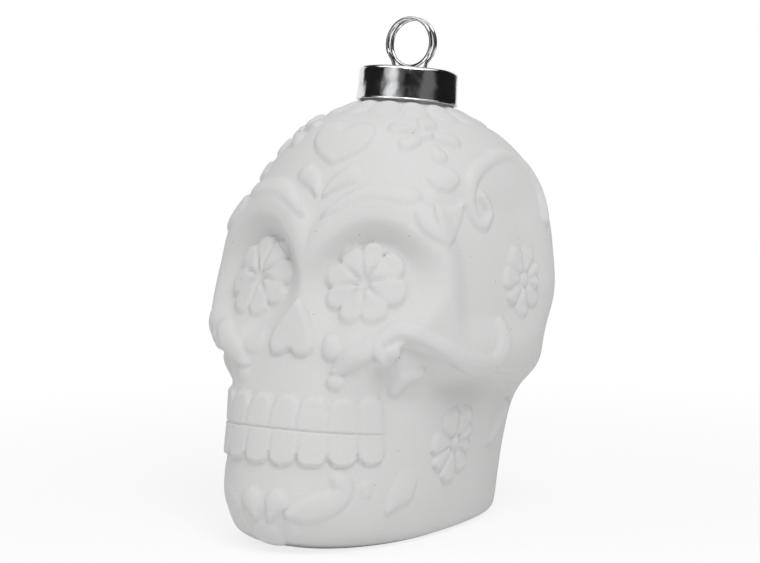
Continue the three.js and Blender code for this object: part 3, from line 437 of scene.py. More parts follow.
class Head:
    """The moulded head as a surface over an angle round it and a level down it."""

    def __init__(self, sizes, lean):
        self.unit = sizes.head / 100
        self.lean = lean
        neck = sizes.neck / self.unit
        run, rise = neck * math.cos(lean), neck * math.sin(lean)
        foot = (-run, NECK_ROOT_SHARE + rise, run, NECK_ROOT_SHARE - rise, neck, 0.5, 2, 2)
        self.rows = (foot,) + LOFT_SHARES

    def loft(self, around, level):
        values = np.moveaxis(flow(self.rows, level), -1, 0)
        front_y, front_z, back_y, back_z, half, widest, square_front, square_back = values
        cosine, sine = np.cos(around), np.sin(around)
        square = square_back + (square_front - square_back) * (1 + cosine) / 2
        length = np.hypot(front_y - back_y, front_z - back_z)
        reach = np.where(cosine >= 0, widest, 1 - widest) * length
        radius = (np.abs(sine / half) ** square + np.abs(cosine / reach) ** square) ** (-1 / square)
        along = radius * cosine / length
        return np.stack([
            radius * sine,
            front_y + (back_y - front_y) * widest + (front_y - back_y) * along,
            front_z + (back_z - front_z) * widest + (front_z - back_z) * along,
        ], axis=-1)

    def normals(self, surface, around, level, step=0.002):
        across = surface(around + step, level) - surface(around - step, level)
        lower, upper = np.minimum(level + step, LAST_LEVEL), np.maximum(level - step, 0)
        normal = np.cross(surface(around, lower) - surface(around, upper), across)
        return normal / np.maximum(np.linalg.norm(normal, axis=-1, keepdims=True), TINY)

    def broad_form(self, points):
        """Sockets, brows, temples, cheeks and the hollow beside the nose."""
        x, y, z = np.abs(points[..., 0]), points[..., 1], points[..., 2]
        socket, temple = SOCKET_SHARES, TEMPLE_SHARES
        face = ramp(*FACE_SHARES, y)
        across = (x - socket["x"]) / socket["wide"]
        upward = (z - socket["z"]) / socket["high"]
        away = np.maximum(np.hypot(across, upward), TINY)
        deeper = (1 - socket["shallowest"]) * ramp(*socket["deepens"], upward)
        depth = socket["depth"] * (socket["shallowest"] + deeper)
        narrower = (socket["edge_above"] - socket["edge_below"]) * ramp(*socket["narrows"], upward)
        wall = socket["edge_below"] + narrower - socket["floor"]
        height = -depth * face * (1 - ramp(0, 1, (away - socket["floor"]) / wall))
        for (rise, place, width, comes_up), way in ((BROW_SHARES, upward), (RIM_SHARES, across)):
            height += rise * face * bump((away - place) / width) * ramp(*comes_up, way / away)
        side = ramp(*temple["side"], x) * ramp(*temple["front"], y) * ramp(*temple["back"], y)
        height -= temple["depth"] * side * ramp(*temple["below"], z) * ramp(*temple["above"], z)
        mirrored = np.stack([x, y, z], axis=-1)
        for rise, width, line in CHEEK_FORMS:
            height += rise * bump(distance_to_line(mirrored, line) / width)
        depth, nose_x, nose_z, wide, high = NOSE_SIDE_SHARES
        return height - depth * face * bump((x - nose_x) / wide) * bump((z - nose_z) / high)

    def form(self, around, level):
        plain = self.loft(around, level)
        ends = ramp(*CROWN_LEVELS, level) * ramp(*BASE_LEVELS, level)
        height = self.broad_form(plain) * ends - self.ledge(around, level)
        return plain + self.normals(self.loft, around, level) * height[..., None]

    def ledge(self, around, level):
        """Depth of the hollow that starts at the lower edge of the cheekbone."""
        turns = (around / DEGREE + 180) % 360 - 180
        angles, levels, depths = np.transpose(LEDGE_SHARES)
        below = level - np.interp(np.abs(turns), angles, levels)
        depth = np.interp(np.abs(turns), angles, depths)
        return depth * ramp(0, LEDGE_WALL, below) * (1 - ramp(*LEDGE_FALL, below))

    def frame_at(self, degrees, level):
        """A place on the head with the directions sideways and up along its surface."""
        around = degrees * DEGREE
        normal = self.normals(self.form, around, level, step=0.01)
        up = np.array([0, 0, 1]) - normal * normal[2]
        up /= np.linalg.norm(up)
        return self.form(around, level), np.cross(up, normal), up

    def inner(self, around, level, wall):
        return self.form(around, level) - self.normals(self.loft, around, level) * wall / self.unit


def swell(height, points, nodes, halves, rise, soft, flush=0):
    """Raises a rounded band along a line of nodes, where it stands over what is there."""
    nodes, halves = np.asarray(nodes, float), np.asarray(halves, float)
    reach = halves.max() * (1 + flush)
    near = ((points > nodes.min(0) - reach) & (points < nodes.max(0) + reach)).all(axis=-1)
    inside = points[near]
    rises = np.broadcast_to(rise, len(points))[near]
    best = np.full(len(inside), np.inf)
    for start, end, first, last in zip(nodes, nodes[1:], halves, halves[1:]):
        offset, share = from_segment(inside, start, end)
        half = first + (last - first) * share
        away = np.linalg.norm(offset, axis=-1)
        upward = np.clip(offset[:, 2] / np.maximum(away, TINY), 0, 1)
        best = np.minimum(best, away / half / (1 + flush * upward))
    height[near] = np.maximum(height[near], rises * np.clip(1 - best * best, 0, 1) ** soft)


def pillow(height, points, edge, rise, rounding):
    """Raises a flat-topped pillow with a rounded edge inside a closed line of places."""
    middle = edge.mean(axis=0)
    normal = np.cross(edge - middle, np.roll(edge, -1, axis=0) - middle).sum(axis=0)
    normal /= np.linalg.norm(normal)
    side = np.cross(normal, edge[0] - middle)
    side /= np.linalg.norm(side)
    axes = np.stack([side, np.cross(normal, side)], axis=1)
    offset = points - middle
    reach = np.linalg.norm(edge - middle, axis=1).max()
    near = np.linalg.norm(offset, axis=1) < reach * MARGIN
    flat, corners = offset[near] @ axes, (edge - middle) @ axes
    inside = np.zeros(len(flat), bool)
    away = np.full(len(flat), np.inf)
    for start, end in zip(corners, np.roll(corners, -1, axis=0)):
        away = np.minimum(away, np.linalg.norm(from_segment(flat, start, end)[0], axis=1))
        crosses = (start[1] > flat[:, 1]) != (end[1] > flat[:, 1])
        ahead = end - start
        slope = ahead[0] / ahead[1] if ahead[1] else 0
        inside ^= crosses & (flat[:, 0] < start[0] + (flat[:, 1] - start[1]) * slope)
    shoulder = np.sqrt(1 - (1 - np.minimum(away / rounding, 1)) ** 2)
    dome = 1 - DOME_SHARE + DOME_SHARE * np.minimum(away / reach * 2, 1)
    height[near] = np.maximum(height[near], np.where(inside, rise * shoulder * dome, 0))


def closed_line(head, places):
    """A smooth closed line on the head through its places."""
    nodes = np.array(places[-2:] + places + places[:3], float)
    table = flow(nodes, np.linspace(2, len(places) + 2, LINE_STEPS * len(places) + 1)[:-1])
    return head.form(table[:, 0] * DEGREE, table[:, 1])


def raised_work(head, points):
    """Height of the flowers, hearts, scrolls, teeth and collar over the head's form."""
    mirrored = points.copy()
    mirrored[:, 0] = np.abs(mirrored[:, 0])
    height = np.zeros(len(points))
    for name, (rise, soft, *nodes) in STROKE_SHARES.items():
        rises = np.where(points[:, 0] < 0, rise * FAR_SHARES.get(name, 1), rise)
        swell(height, mirrored, *stroke_line(head, nodes), rises, soft, FLUSH_SHARES.get(name, 0))
    for rise, rounding, *half in HEART_SHARES.values():
        other = [(-across, level) for across, level in half[-2:0:-1]]
        pillow(height, points, closed_line(head, half + other), rise, rounding)
    for rise, rounding, *edge in PILLOW_SHARES.values():
        pillow(height, mirrored, closed_line(head, edge), rise, rounding)
    for (degrees, level), radius, petals in FLOWER_SHARES.values():
        raise_flower(mirrored, height, head.frame_at(degrees, level), radius, petals)
    raise_teeth(head, points, height)
    raise_collar(head, mirrored, height)
    for depth, soft, *nodes in GROOVE_SHARES.values():
        dent = np.zeros(len(points))
        swell(dent, mirrored, *stroke_line(head, nodes), depth, soft)
        height -= dent
    return height


def raise_flower(points, height, axes, radius, petals):
    """A flat flower with a scalloped outline, creases between its petals and a bud."""
    origin, side, up = axes
    near = np.linalg.norm(points - origin, axis=1) < radius * MARGIN
    offset = points[near] - origin
    out = np.hypot(offset @ side, offset @ up) / radius
    turn = np.arctan2(offset @ up, offset @ side) / DEGREE
    gaps = (turn[:, None] - np.array(petals["turns"]) + 180) % 360 - 180
    order = np.argsort(np.abs(gaps), axis=1)[:, :2]
    rows = np.arange(len(out))
    first, second = np.abs(gaps[rows, order[:, 0]]), np.abs(gaps[rows, order[:, 1]])
    half = (first + second) / 2
    reach = np.array(petals["reaches"])[order[:, 0]]
    aside, shares = first / half, PETAL_SHARES
    outline = reach * (1 - petals["dip"] * (1 - np.sqrt(1 - shares["scallop"] * aside ** 2)))
    shoulder = 1 - (1 - np.clip((outline - out) / shares["edge"], 0, 1)) ** 2
    middle, outside = petals["creases"]
    depth = middle + (outside - middle) * ramp(*shares["fades"], out)
    crease = depth * bump(out * (half - first) * DEGREE / petals["crease"])
    cup = bump((out - shares["cup_at"]) / shares["cup_long"]) * bump(aside / shares["cup_wide"])
    pressed = (1 - petals["cup"] * cup) * (1 - petals["round"] * aside ** 2)
    raised = np.sqrt(shoulder) * (1 - crease) * pressed
    bud = petals["bud"]
    if bud:
        raised *= ramp(bud, bud * shares["bud_hollow"], out)
        raised = np.maximum(raised, np.sqrt(np.clip(1 - (out / bud) ** 2, 0, 1)))
    tilt = 1 + petals["tilt"] * (offset @ up) / radius
    height[near] = np.maximum(height[near], petals["rise"] * raised * tilt)


def stroke_line(head, nodes):
    """Places and half widths along a stroke, on a smooth curve through its nodes."""
    steps = 1 if len(nodes) < 3 else LINE_STEPS * (len(nodes) - 1)
    table = flow(nodes, np.linspace(0, len(nodes) - 1, steps + 1))
    return head.form(table[:, 0] * DEGREE, table[:, 1]), table[:, 2]


def jaw_directions(points):
    return np.arctan2(points[:, 0], -points[:, 1] - JAW_SHARE)


def arc_runs(head, level):
    """Directions from the place in the jaw and how far the arc has run there, at a level."""
    row = head.form(np.linspace(-ARC_REACH, ARC_REACH, 2 * ARC_STEPS + 1), level)
    runs = runs_along(row)
    return jaw_directions(row), runs - runs[ARC_STEPS]


def bite_height(head, directions):
    """Height of the line between the two rows of teeth."""
    tooth = TOOTH_SHARES
    run = np.interp(directions, *arc_runs(head, tooth["level"])) / (TEETH_PER_SIDE * tooth["width"])
    return tooth["bite"] - tooth["fall"] * np.minimum(run ** 2, tooth["most_fall"])


def raise_teeth(head, points, height):
    """Two rows of flat teeth, square at the bite line and rounded at the root."""
    tooth = TOOTH_SHARES
    last = TEETH_PER_SIDE * tooth["width"]
    side_power, root_power, corner_power = ROOT_POWERS
    for level, root, softness, shift in TOOTH_ROWS:
        length = abs(root - tooth["bite"])
        near = np.abs(points[:, 2] - (root + tooth["bite"]) / 2) < length
        near &= points[:, 1] < tooth["back"]
        spots = points[near]
        directions = jaw_directions(spots)
        run = (np.interp(directions, *arc_runs(head, level)) - shift) / tooth["width"]
        number = np.clip(np.floor(run), -TEETH_PER_SIDE, TEETH_PER_SIDE - 1)
        across = np.abs((run - number) * 2 - 1)
        edge = bite_height(head, directions)
        along = (spots[:, 2] - edge) / (root - edge)
        rooted = np.clip((along - tooth["rooted"]) / (1 - tooth["rooted"]), 0, None)
        powers = np.minimum(across, 1) ** side_power + rooted ** root_power
        round_end = powers ** (1 / corner_power)
        shoulder = np.clip((1 - round_end) / softness, 0, 1) * (rooted > 0) + (rooted == 0)
        aside = np.clip((across - tooth["crease_from"]) / (1 - tooth["crease_from"]), 0, 1)
        crease = 1 - tooth["crease"] * aside ** 2
        past_step = np.clip(along * length / tooth["step_wide"], 0, 1)
        bitten = tooth["step"] + (1 - tooth["step"]) * past_step
        fade = ramp(*tooth["fade"], np.abs(run) * tooth["width"] / last)
        swollen = np.sqrt(1 - (1 - shoulder) ** 2) * bitten * crease * fade
        height[near] = np.maximum(height[near], tooth["rise"] * np.where(along >= 0, swollen, 0))


def raise_collar(head, points, height):
    """A ring of petals round the foot of the neck."""
    collar = COLLAR_SHARES
    axis = np.array([0, math.sin(head.lean), math.cos(head.lean)])
    levels = np.linspace(0, collar["levels"], FINE_STEPS["collar"])
    for petal in range(collar["count"] // 2):
        around = (petal + 0.5) * 2 * math.pi / collar["count"]
        line = head.form(around, levels)
        offset = line - np.array(NECK_FOOT)
        away = np.linalg.norm(offset - np.outer(offset @ axis, axis), axis=1)
        ends = [line[np.argmax(away > collar[key])] for key in ("near", "far")]
        halves = [collar["near_half"], collar["far_half"]]
        swell(height, points, ends, halves, collar["rise"], soft=0.5)


def even_levels(head, count):
    """Levels of the outside, spaced evenly along face and side, and closely at the bite line."""
    fine = np.linspace(0, LAST_LEVEL, FINE_STEPS["rows"])
    run = sum(runs_along(head.form(degrees * DEGREE, fine)) for degrees in EVEN_ANGLES)
    levels = np.interp(np.linspace(0, run[-1], count), run, fine)
    bite = TOOTH_SHARES["level"]
    levels[np.argmin(np.abs(levels - bite))] = bite
    return np.sort(np.concatenate([levels, bite + np.array(BITE_STEPS)]))


def along_the_bite(head, around, level):
    """Levels bent so that one row of the mesh follows the bite line."""
    bite = TOOTH_SHARES["level"]
    fine = np.linspace(bite - BITE_SEARCH, bite + BITE_SEARCH, FINE_STEPS["bite"])
    turns = around[0]
    bend = np.zeros(len(turns))
    for column in np.flatnonzero(np.abs(turns) < BITE_ENDS[0]):
        line = head.form(turns[column], fine)
        under = bite_height(head, jaw_directions(line)) - line[:, 2]
        bend[column] = np.interp(0, under, fine) - bite
    bend *= ramp(*BITE_ENDS, np.abs(turns))
    return level + bend * bump((level - bite) / BITE_SPREAD)


def lean_matrix(head_height, lean):
    return Matrix.Translation((0, 0, head_height)) @ Matrix.Rotation(-lean, 4, "X")


def neck_ring(turns, radius, height, sizes, lean):
    """A ring round the leaning neck, at a height over its foot."""
    even = np.ones(len(turns))
    ring = np.stack([radius * np.sin(turns), -radius * np.cos(turns), height * even, even])
    placed = np.array(lean_matrix(sizes.head, lean)) @ ring
    return placed[:3].T


def shrunk(ring, share):
    return ring * share + ring.mean(0) * (1 - share)


def linked(name, data):
    """A new object in the scene, with this data."""
    made = bpy.data.objects.new(name, data)
    bpy.context.scene.collection.objects.link(made)
    return made


def mesh_object(name, work, material=None):
    """Turns a bmesh into an object of the scene."""
    mesh = bpy.data.meshes.new(name)
    work.to_mesh(mesh)
    work.free()
    if material:
        mesh.materials.append(material)
    return linked(name, mesh)


def leaning_mesh(context, made):
    """The final mesh of an object as a bmesh, moved from the origin to the leaning neck."""
    context.view_layer.update()
    work = bmesh.new()
    work.from_mesh(made.evaluated_get(context.evaluated_depsgraph_get()).to_mesh())
    matrix = lean_matrix(context.scene.skull_sizes.head, context.scene.skull_stage.lean)
    bmesh.ops.transform(work, verts=work.verts, matrix=matrix)
    return work


def finished(name, work, node, body, material):
    """Turns a bmesh into a smooth-shaded piece that rides on its body and replaces its node."""
    piece = mesh_object(name, work, material)
    piece.data.polygons.foreach_set("use_smooth", [True] * len(piece.data.polygons))
    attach(piece, body)
    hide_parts(node)
    return piece


# Materials

class Wire:
    """A shader socket that can be used in plain sums."""

    def __init__(self, shader, socket):
        self.shader = shader
        self.socket = socket

    def joined(self, operation, first, second):
        return self.shader.add("ShaderNodeMath", {"operation": operation}, {0: first, 1: second})

    def __add__(self, other):
        return self.joined("ADD", self, other)

    __radd__ = __add__

    def __sub__(self, other):
        return self.joined("SUBTRACT", self, other)

    def __rsub__(self, other):
        return self.joined("SUBTRACT", other, self)

    def __mul__(self, other):
        return self.joined("MULTIPLY", self, other)

    __rmul__ = __mul__


class Shader:
    """The node tree of a material or a world."""

    def __init__(self, owner):
        owner.use_nodes = True
        self.tree = owner.node_tree
        self.tree.nodes.clear()

    def add(self, kind, settings=None, inputs=None, output=0):
        node = self.tree.nodes.new(kind)
        for name, value in (settings or {}).items():
            setattr(node, name, value)
        for key, value in (inputs or {}).items():
            if isinstance(value, Wire):
                self.tree.links.new(value.socket, node.inputs[key])
            else:
                node.inputs[key].default_value = value
        return Wire(self, node.outputs[output]) if node.outputs else None

    def show(self, surface, kind="Material"):
        self.add("ShaderNodeOutput" + kind, None, {"Surface": surface})

    def places(self):
        return self.add("ShaderNodeTexCoord", output="Object")

    def noise(self, where, scale, detail, roughness=0.5):
        return self.add("ShaderNodeTexNoise", None, {
            "Vector": where, "Scale": scale, "Detail": detail, "Roughness": roughness})

    def steps(self, value, low, high):
        return self.add("ShaderNodeMapRange", {"interpolation_type": "SMOOTHSTEP"}, {
            "Value": value, "From Min": low, "From Max": high})

    def tinted(self, share, first, second):
        return self.add("ShaderNodeMix", {"data_type": "RGBA"}, {0: share, 6: first, 7: second}, 2)


def opaque(colour, share=1):
    return (*(value * share for value in colour), 1)


def bisque_material(sizes):
    """Unglazed fired clay: chalky, with a fine grain, faint clouds and a few pinholes, whose shade
    is painted darker into the colour.
    """
    material = bpy.data.materials.new("white_bisque")
    shader = Shader(material)
    where = shader.places()
    grain = shader.noise(where, scale=2400, detail=4, roughness=0.65)
    clouds = shader.noise(where, scale=45, detail=3)
    pores = shader.noise(where, scale=700, detail=2)
    cells = shader.add("ShaderNodeTexVoronoi", None, {"Vector": where, "Scale": 240})
    # Mask of the pinholes: it presses them in as pits and paints shade inside them.
    shaded_pinhole = 1 - shader.steps(cells, 0.025, 0.05)
    cloudy, grainy = opaque(sizes.bisque, 0.975), opaque(sizes.bisque, 0.95)
    clouded = shader.tinted(shader.steps(clouds, 0.3, 0.7), cloudy, opaque(sizes.bisque))
    grained = shader.tinted(shader.steps(grain, 0.25, 0.6), grainy, clouded)
    # Painted shade: the pinholes are darkened towards the shade colour.
    colour = shader.tinted(shaded_pinhole * 0.75, grained, opaque(sizes.shaded_pinhole))
    relief = grain * 0.8 + pores * 0.5 - shaded_pinhole * 1.4
    normal = shader.add("ShaderNodeBump", None, {
        "Height": relief, "Strength": 0.28, "Distance": 0.12 * MM})
    surface = shader.add("ShaderNodeBsdfPrincipled", None, {
        "Base Color": colour, "Roughness": 0.93, "Normal": normal, "Specular IOR Level": 0.2})
    shader.show(surface)
    return material


def metal_material(name, colour, roughness, dents):
    """Bright plating with hairline scratches and slightly uneven sheet under it."""
    material = bpy.data.materials.new(name)
    shader = Shader(material)
    where = shader.places()
    turned = shader.add("ShaderNodeMapping", None, {"Vector": where, "Scale": (1, 1, 14)})
    hairs = shader.noise(turned, scale=1400, detail=3)
    waves = shader.noise(where, scale=170, detail=1.5)
    worn = shader.steps(shader.noise(where, scale=420, detail=4), 0.5, 0.75)
    tone = shader.tinted(worn, opaque(colour), opaque(colour, 0.86))
    normal = shader.add("ShaderNodeBump", None, {
        "Height": waves * dents + hairs * 0.07, "Strength": 0.5, "Distance": 0.3 * MM})
    scattered = worn * 0.1 + hairs * 0.06 + roughness
    surface = shader.add("ShaderNodeBsdfPrincipled", None, {
        "Base Color": tone, "Metallic": 1, "Roughness": scattered, "Normal": normal})
    shader.show(surface)
    return material


def seen_directly(shader):
    """One for rays from the camera, off metal or through glass, and zero for the rest."""
    path = shader.add("ShaderNodeLightPath").socket.node
    names = ("Is Camera Ray", "Is Glossy Ray", "Is Transmission Ray")
    camera, glossy, through = (Wire(shader, path.outputs[name]) for name in names)
    clamped_sum = {"operation": "ADD", "use_clamp": True}
    return shader.add("ShaderNodeMath", clamped_sum, {0: camera + glossy, 1: through})


# Operators

class MakeHead(bpy.types.Operator):
    """Make the moulded head with its raised flowers, hearts, scrolls and teeth"""

    bl_idname = "sugar_skull.make_head"
    bl_label = "Make Head"

    def execute(self, context):
        sizes, stage = context.scene.skull_sizes, context.scene.skull_stage
        cap, gap = context.scene.skull_cap, context.scene.skull_hanger.gap
        head = Head(sizes, stage.lean)
        share = (np.arange(COLUMNS) - COLUMNS // 2) / (COLUMNS // 2)
        turns = math.pi * (EVEN_COLUMNS * share + (1 - EVEN_COLUMNS) * share ** CROWDING)
        around, level = np.meshgrid(turns, even_levels(head, ROWS))
        level = along_the_bite(head, around, level)
        form = head.form(around, level)
        normals = head.normals(head.form, around, level, step=0.004)
        height = raised_work(head, form.reshape(-1, 3)).reshape(form.shape[:2]) * sizes.relief
        skin = (form + normals * height[..., None]) * head.unit
        rings = self.cavity(head, turns, sizes)
        top = cap.height - cap.sheet - gap
        rim = [(gap * out, top - gap * down) for out, down in NECK_RIM]
        bore = [(sizes.bore + out, up) for out, up in [(0, -BORE_FOOT * sizes.wall)] + rim]
        neck = [(sizes.neck - out, up) for out, up in rim[::-1] + [(0, NECK_START * top)]]
        for radius, up in bore + neck:
            rings.append(neck_ring(turns, radius, up, sizes, stage.lean))
        rings += [*skin, *(shrunk(skin[-1], share) for share in BASE_RINGS)]
        work = self.closed_mesh(rings)
        finished("moulded_head", work, "skull_shell", "skull", bisque_material(sizes))
        return {"FINISHED"}

    def cavity(self, head, turns, sizes):
        """Rings of the hollow from the middle of its floor up to the foot of the bore."""
        rings = []
        for level, inward, height in FLOOR_RINGS:
            ring = head.inner(turns, level, sizes.wall * inward) * head.unit
            ring[:, 2] = sizes.wall * height
            rings.append(ring)
        rings.insert(0, shrunk(rings[0], 0.5))
        walls = [head.inner(turns, level, sizes.wall) * head.unit for level in CAVITY_LEVELS]
        return rings + walls

    def closed_mesh(self, rings):
        """A sphere whose rows are moved to the rings, with a point at each end."""
        rows = len(rings)
        work = bmesh.new()
        bmesh.ops.create_uvsphere(work, u_segments=COLUMNS, v_segments=rows + 1, radius=1)
        for vertex in work.verts:
            spot = vertex.co.normalized()
            row = round((1 - math.acos(max(-1, min(1, spot.z))) / math.pi) * (rows + 1))
            column = round(math.atan2(spot.y, spot.x) / (2 * math.pi) * COLUMNS) % COLUMNS
            if row == 0:
                vertex.co = rings[0].mean(0)
            elif row == rows + 1:
                vertex.co = rings[-1].mean(0)
            else:
                vertex.co = rings[row - 1][column]
        bmesh.ops.recalc_face_normals(work, faces=work.faces)
        return work


class MakeCap(bpy.types.Operator):
    """Make the pressed metal cap with its rounded edge, hem and holes for the wire"""

    bl_idname = "sugar_skull.make_cap"
    bl_label = "Make Cap"

    def execute(self, context):
        sizes, hanger = context.scene.skull_cap, context.scene.skull_hanger
        work = bmesh.new()
        profile = self.profile(sizes)
        corners = [work.verts.new((radius, 0, height)) for radius, height in profile]
        edges = [work.edges.new(pair) for pair in zip(corners, corners[1:])]
        bmesh.ops.spin(
            work, geom=corners + edges, cent=(0, 0, 0), axis=(0, 0, 1), angle=2 * math.pi,
            steps=128, use_merge=True, use_duplicate=False)
        bmesh.ops.remove_doubles(work, verts=work.verts, dist=WELD * MM)
        bmesh.ops.recalc_face_normals(work, faces=work.faces)
        blank = mesh_object("cup", work)
        drills = []
        hole = hanger.wire / 2 + HOLE_MARGIN * MM
        for side in (-1, 1):
            tool = bmesh.new()
            bmesh.ops.create_cone(
                tool, segments=48, cap_ends=True, depth=4 * sizes.sheet, radius1=hole, radius2=hole)
            place = (side * hanger.legs / 2, side * hanger.pitch * hanger.turns / 4, sizes.height)
            bmesh.ops.translate(tool, verts=tool.verts, vec=place)
            drills.append(mesh_object("drill", tool))
            cut = blank.modifiers.new("hole", "BOOLEAN")
            cut.operation = "DIFFERENCE"
            cut.solver = "EXACT"
            cut.object = drills[-1]
        pressed = leaning_mesh(context, blank)
        for leftover in (blank, *drills):
            bpy.data.objects.remove(leftover)
        material = metal_material("bright_plating", sizes.plating, roughness=0.07, dents=3.5)
        piece = finished("pressed_cap", pressed, "cap", "cap", material)
        for edge in piece.data.edges:
            edge.use_edge_sharp = False
        return {"FINISHED"}

    def profile(self, sizes):
        """Outline of the cup from the middle of its top, down its outside and back inside."""
        height, sheet = sizes.height, sizes.sheet
        x, z = sizes.radius - sizes.taper - sizes.corner, height - sizes.corner

        def corner(inward, turns):
            size = sizes.corner - inward
            return [(x + size * math.sin(turn), z + size * math.cos(turn)) for turn in turns]

        quarter = [step * math.pi / 16 for step in range(9)]
        hem = [(sizes.radius + sizes.flare * out, sizes.hem * up) for out, up in HEM_OUTSIDE]
        hem += [(sizes.radius - sheet * inward, sizes.hem * up) for inward, up in HEM_INSIDE]
        outside = [(0, height), *corner(0, quarter), *hem]
        return outside + corner(sheet, quarter[::-1]) + [(0, height - sheet)]


class MakeHanger(bpy.types.Operator):
    """Make the wire hanger: a wound ring and two legs bowed to grip the neck"""

    bl_idname = "sugar_skull.make_hanger"
    bl_label = "Make Hanger"

    def execute(self, context):
        sizes, cap = context.scene.skull_hanger, context.scene.skull_cap
        path = self.path(sizes, cap, context.scene.skull_sizes.bore)
        curve = bpy.data.curves.new("wire_path", "CURVE")
        curve.dimensions = "3D"
        curve.bevel_depth = sizes.wire / 2
        curve.bevel_resolution = 4
        curve.use_fill_caps = True
        spline = curve.splines.new("POLY")
        spline.points.add(len(path) - 1)
        for point, place in zip(spline.points, path):
            point.co = (*place, 1)
        for index, radius in enumerate(TIP_SHARES):
            spline.points[index].radius = spline.points[len(path) - 1 - index].radius = radius
        guide = linked("wire_path", curve)
        work = leaning_mesh(context, guide)
        bpy.data.objects.remove(guide)
        bmesh.ops.remove_doubles(work, verts=work.verts, dist=WELD * MM)
        bmesh.ops.recalc_face_normals(work, faces=work.faces)
        material = metal_material("bright_wire", sizes.wire_colour, roughness=0.06, dents=0.3)
        finished("wound_hanger", work, "wire_hanger", "hanger", material)
        return {"FINISHED"}

    def path(self, sizes, cap, bore):
        """Places along the wire: left leg from its tip, turns of the ring, right leg."""
        wire = sizes.wire / 2
        radius = sizes.ring / 2 - wire
        middle = cap.height + sizes.gap + sizes.ring / 2
        knee = bore - sizes.gap - wire
        straight = cap.height - cap.sheet - sizes.pull - sizes.gap
        sweep = 2 * math.pi * sizes.turns
        leave = (math.pi + sweep) / 2 - math.pi
        coil = []
        for share in np.linspace(0, 1, COIL_STEPS):
            turn = leave - sweep * share
            across, up = radius * math.cos(turn), radius * math.sin(turn)
            coil.append((across, sizes.pitch * sizes.turns * (share - 0.5), middle + up))
        legs = []
        for side in (-1, 1):
            x, y = side * sizes.legs / 2, side * sizes.pitch * sizes.turns / 4
            out = side * knee
            nodes = [(out * outward, y / 2, -knee * down) for outward, down in KNEE_SHARES]
            nodes += [((out + x) / 2, y, -knee * KNEE_TOP_SHARE), (x, y, straight)]
            bow = flow(nodes, np.linspace(0, len(nodes) - 1, LEG_STEPS))
            end = bow[0] - bow[1]
            tip = bow[0] + end / np.linalg.norm(end) * wire
            legs.append([tip.tolist(), *bow.tolist(), (x, y, cap.height + 2 * wire)])

        def joint(leg, ring_end):
            """Short bend between a leg and its end of the ring."""
            nodes = [leg[-2], leg[-1], ring_end[0], ring_end[1]]
            return flow(nodes, np.linspace(*BEND_SPAN)).tolist()

        left = joint(legs[0], coil)
        right = joint(legs[1], coil[::-1])
        return legs[0] + left + coil + right[::-1] + legs[1][::-1]


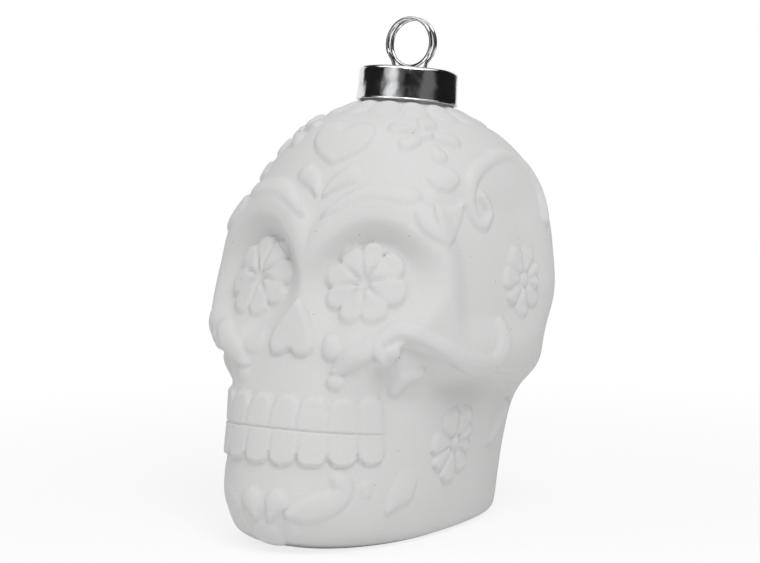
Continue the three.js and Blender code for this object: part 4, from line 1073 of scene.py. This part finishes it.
class MakeStage(bpy.types.Operator):
    """Make the floor, the soft lights, the dark cards that metal mirrors, and the camera"""

    bl_idname = "sugar_skull.make_stage"
    bl_label = "Make Stage"

    def execute(self, context):
        stage = context.scene.skull_stage
        self.camera(context, stage)
        self.floor(stage)
        self.world(context)
        for lamp in LAMPS:
            self.lamp(*lamp)
        for name, start, end, low, high, shade in CARDS:
            first, sweep = stage.azimuth + start * DEGREE, (end - start) * DEGREE
            self.card(name, first, sweep, (low, high), shade)
        context.scene.view_settings.view_transform = "Standard"
        return {"FINISHED"}

    def camera(self, context, stage):
        back = Vector((
            math.sin(stage.azimuth) * math.cos(stage.elevation),
            -math.cos(stage.azimuth) * math.cos(stage.elevation),
            math.sin(stage.elevation)))
        data = bpy.data.cameras.new("camera")
        data.lens = stage.lens
        data.sensor_width = 36
        data.sensor_fit = "HORIZONTAL"
        camera = linked("camera", data)
        camera.location = Vector(stage.target) + back * stage.distance
        camera.rotation_euler = back.to_track_quat("Z", "Y").to_euler()
        context.scene.camera = camera

    def floor(self, stage):
        work = bmesh.new()
        bmesh.ops.create_grid(work, x_segments=8, y_segments=8, size=6)
        material = bpy.data.materials.new("pale_floor")
        shader = Shader(material)
        where = shader.places()
        away = shader.add("ShaderNodeVectorMath", {"operation": "LENGTH"}, {0: where}, "Value")
        lit = shader.add("ShaderNodeBsdfDiffuse", None, {"Color": opaque(stage.floor)})
        white = shader.add("ShaderNodeEmission", None, {"Color": (1, 1, 1, 1), "Strength": 1})
        whiter = shader.steps(away, *WHITE_FROM) * (1 - NEAR_WHITE)
        share = seen_directly(shader) * (NEAR_WHITE + whiter)
        surface = shader.add("ShaderNodeMixShader", None, {0: share, 1: lit, 2: white})
        shader.show(surface)
        floor = mesh_object("floor", work, material)

    def world(self, context):
        world = bpy.data.worlds.new("studio")
        context.scene.world = world
        shader = Shader(world)
        strength = seen_directly(shader) * (1 - WORLD_LIGHT) + WORLD_LIGHT
        back = shader.add("ShaderNodeBackground", None, {
            "Color": (1, 1, 1, 1), "Strength": strength})
        shader.show(back, "World")

    def lamp(self, name, place, width, power):
        data = bpy.data.lights.new(name, "AREA")
        data.shape = "DISK"
        data.size = width
        data.energy = power
        lamp = linked(name, data)
        lamp.location = place
        away = Vector(place) - Vector(LAMP_TARGET)
        lamp.rotation_euler = away.to_track_quat("Z", "Y").to_euler()

    def card(self, name, start, sweep, heights, shade):
        """A curved card from one direction round to another, that only metal mirrors."""
        work = bmesh.new()
        ends = [work.verts.new((0, -CARD_DISTANCE, height)) for height in heights]
        upright = work.edges.new(ends)
        bmesh.ops.rotate(work, verts=ends, cent=(0, 0, 0), matrix=Matrix.Rotation(start, 3, "Z"))
        bmesh.ops.spin(
            work, geom=[*ends, upright], cent=(0, 0, 0), axis=(0, 0, 1), angle=sweep, steps=16,
            use_merge=False, use_duplicate=False)
        material = bpy.data.materials.new(name)
        shader = Shader(material)
        surface = shader.add("ShaderNodeBsdfDiffuse", None, {"Color": (shade, shade, shade, 1)})
        shader.show(surface)
        card = mesh_object(name, work, material)
        card.visible_camera = card.visible_diffuse = card.visible_shadow = False


class SkullPanel(bpy.types.Panel):
    bl_idname = "VIEW3D_PT_sugar_skull"
    bl_label = "Sugar Skull"
    bl_space_type = "VIEW_3D"
    bl_region_type = "UI"
    bl_category = "Sugar Skull"

    def draw(self, context):
        for group, operator in GROUPS:
            box = self.layout.box()
            settings = getattr(context.scene, group)
            for name in settings.__annotations__:
                box.prop(settings, name)
            box.operator(operator.bl_idname)


GROUPS = (
    ("skull_sizes", MakeHead),
    ("skull_cap", MakeCap),
    ("skull_hanger", MakeHanger),
    ("skull_stage", MakeStage),
)
SETTINGS = {
    "skull_sizes": SkullSizes, "skull_cap": CapSizes, "skull_hanger": HangerSizes,
    "skull_stage": StageSizes,
}
CLASSES = (*SETTINGS.values(), *(operator for group, operator in GROUPS), SkullPanel)


def register():
    for entry in CLASSES:
        bpy.utils.register_class(entry)
    for name, group in SETTINGS.items():
        setattr(bpy.types.Scene, name, bpy.props.PointerProperty(type=group))


def unregister():
    for name in SETTINGS:
        delattr(bpy.types.Scene, name)
    for entry in reversed(CLASSES):
        bpy.utils.unregister_class(entry)


def main():
    register()
    bpy.ops.sugar_skull.make_stage()
    bpy.ops.sugar_skull.make_head()
    bpy.ops.sugar_skull.make_cap()
    bpy.ops.sugar_skull.make_hanger()


if __name__ == "__main__":
    main()
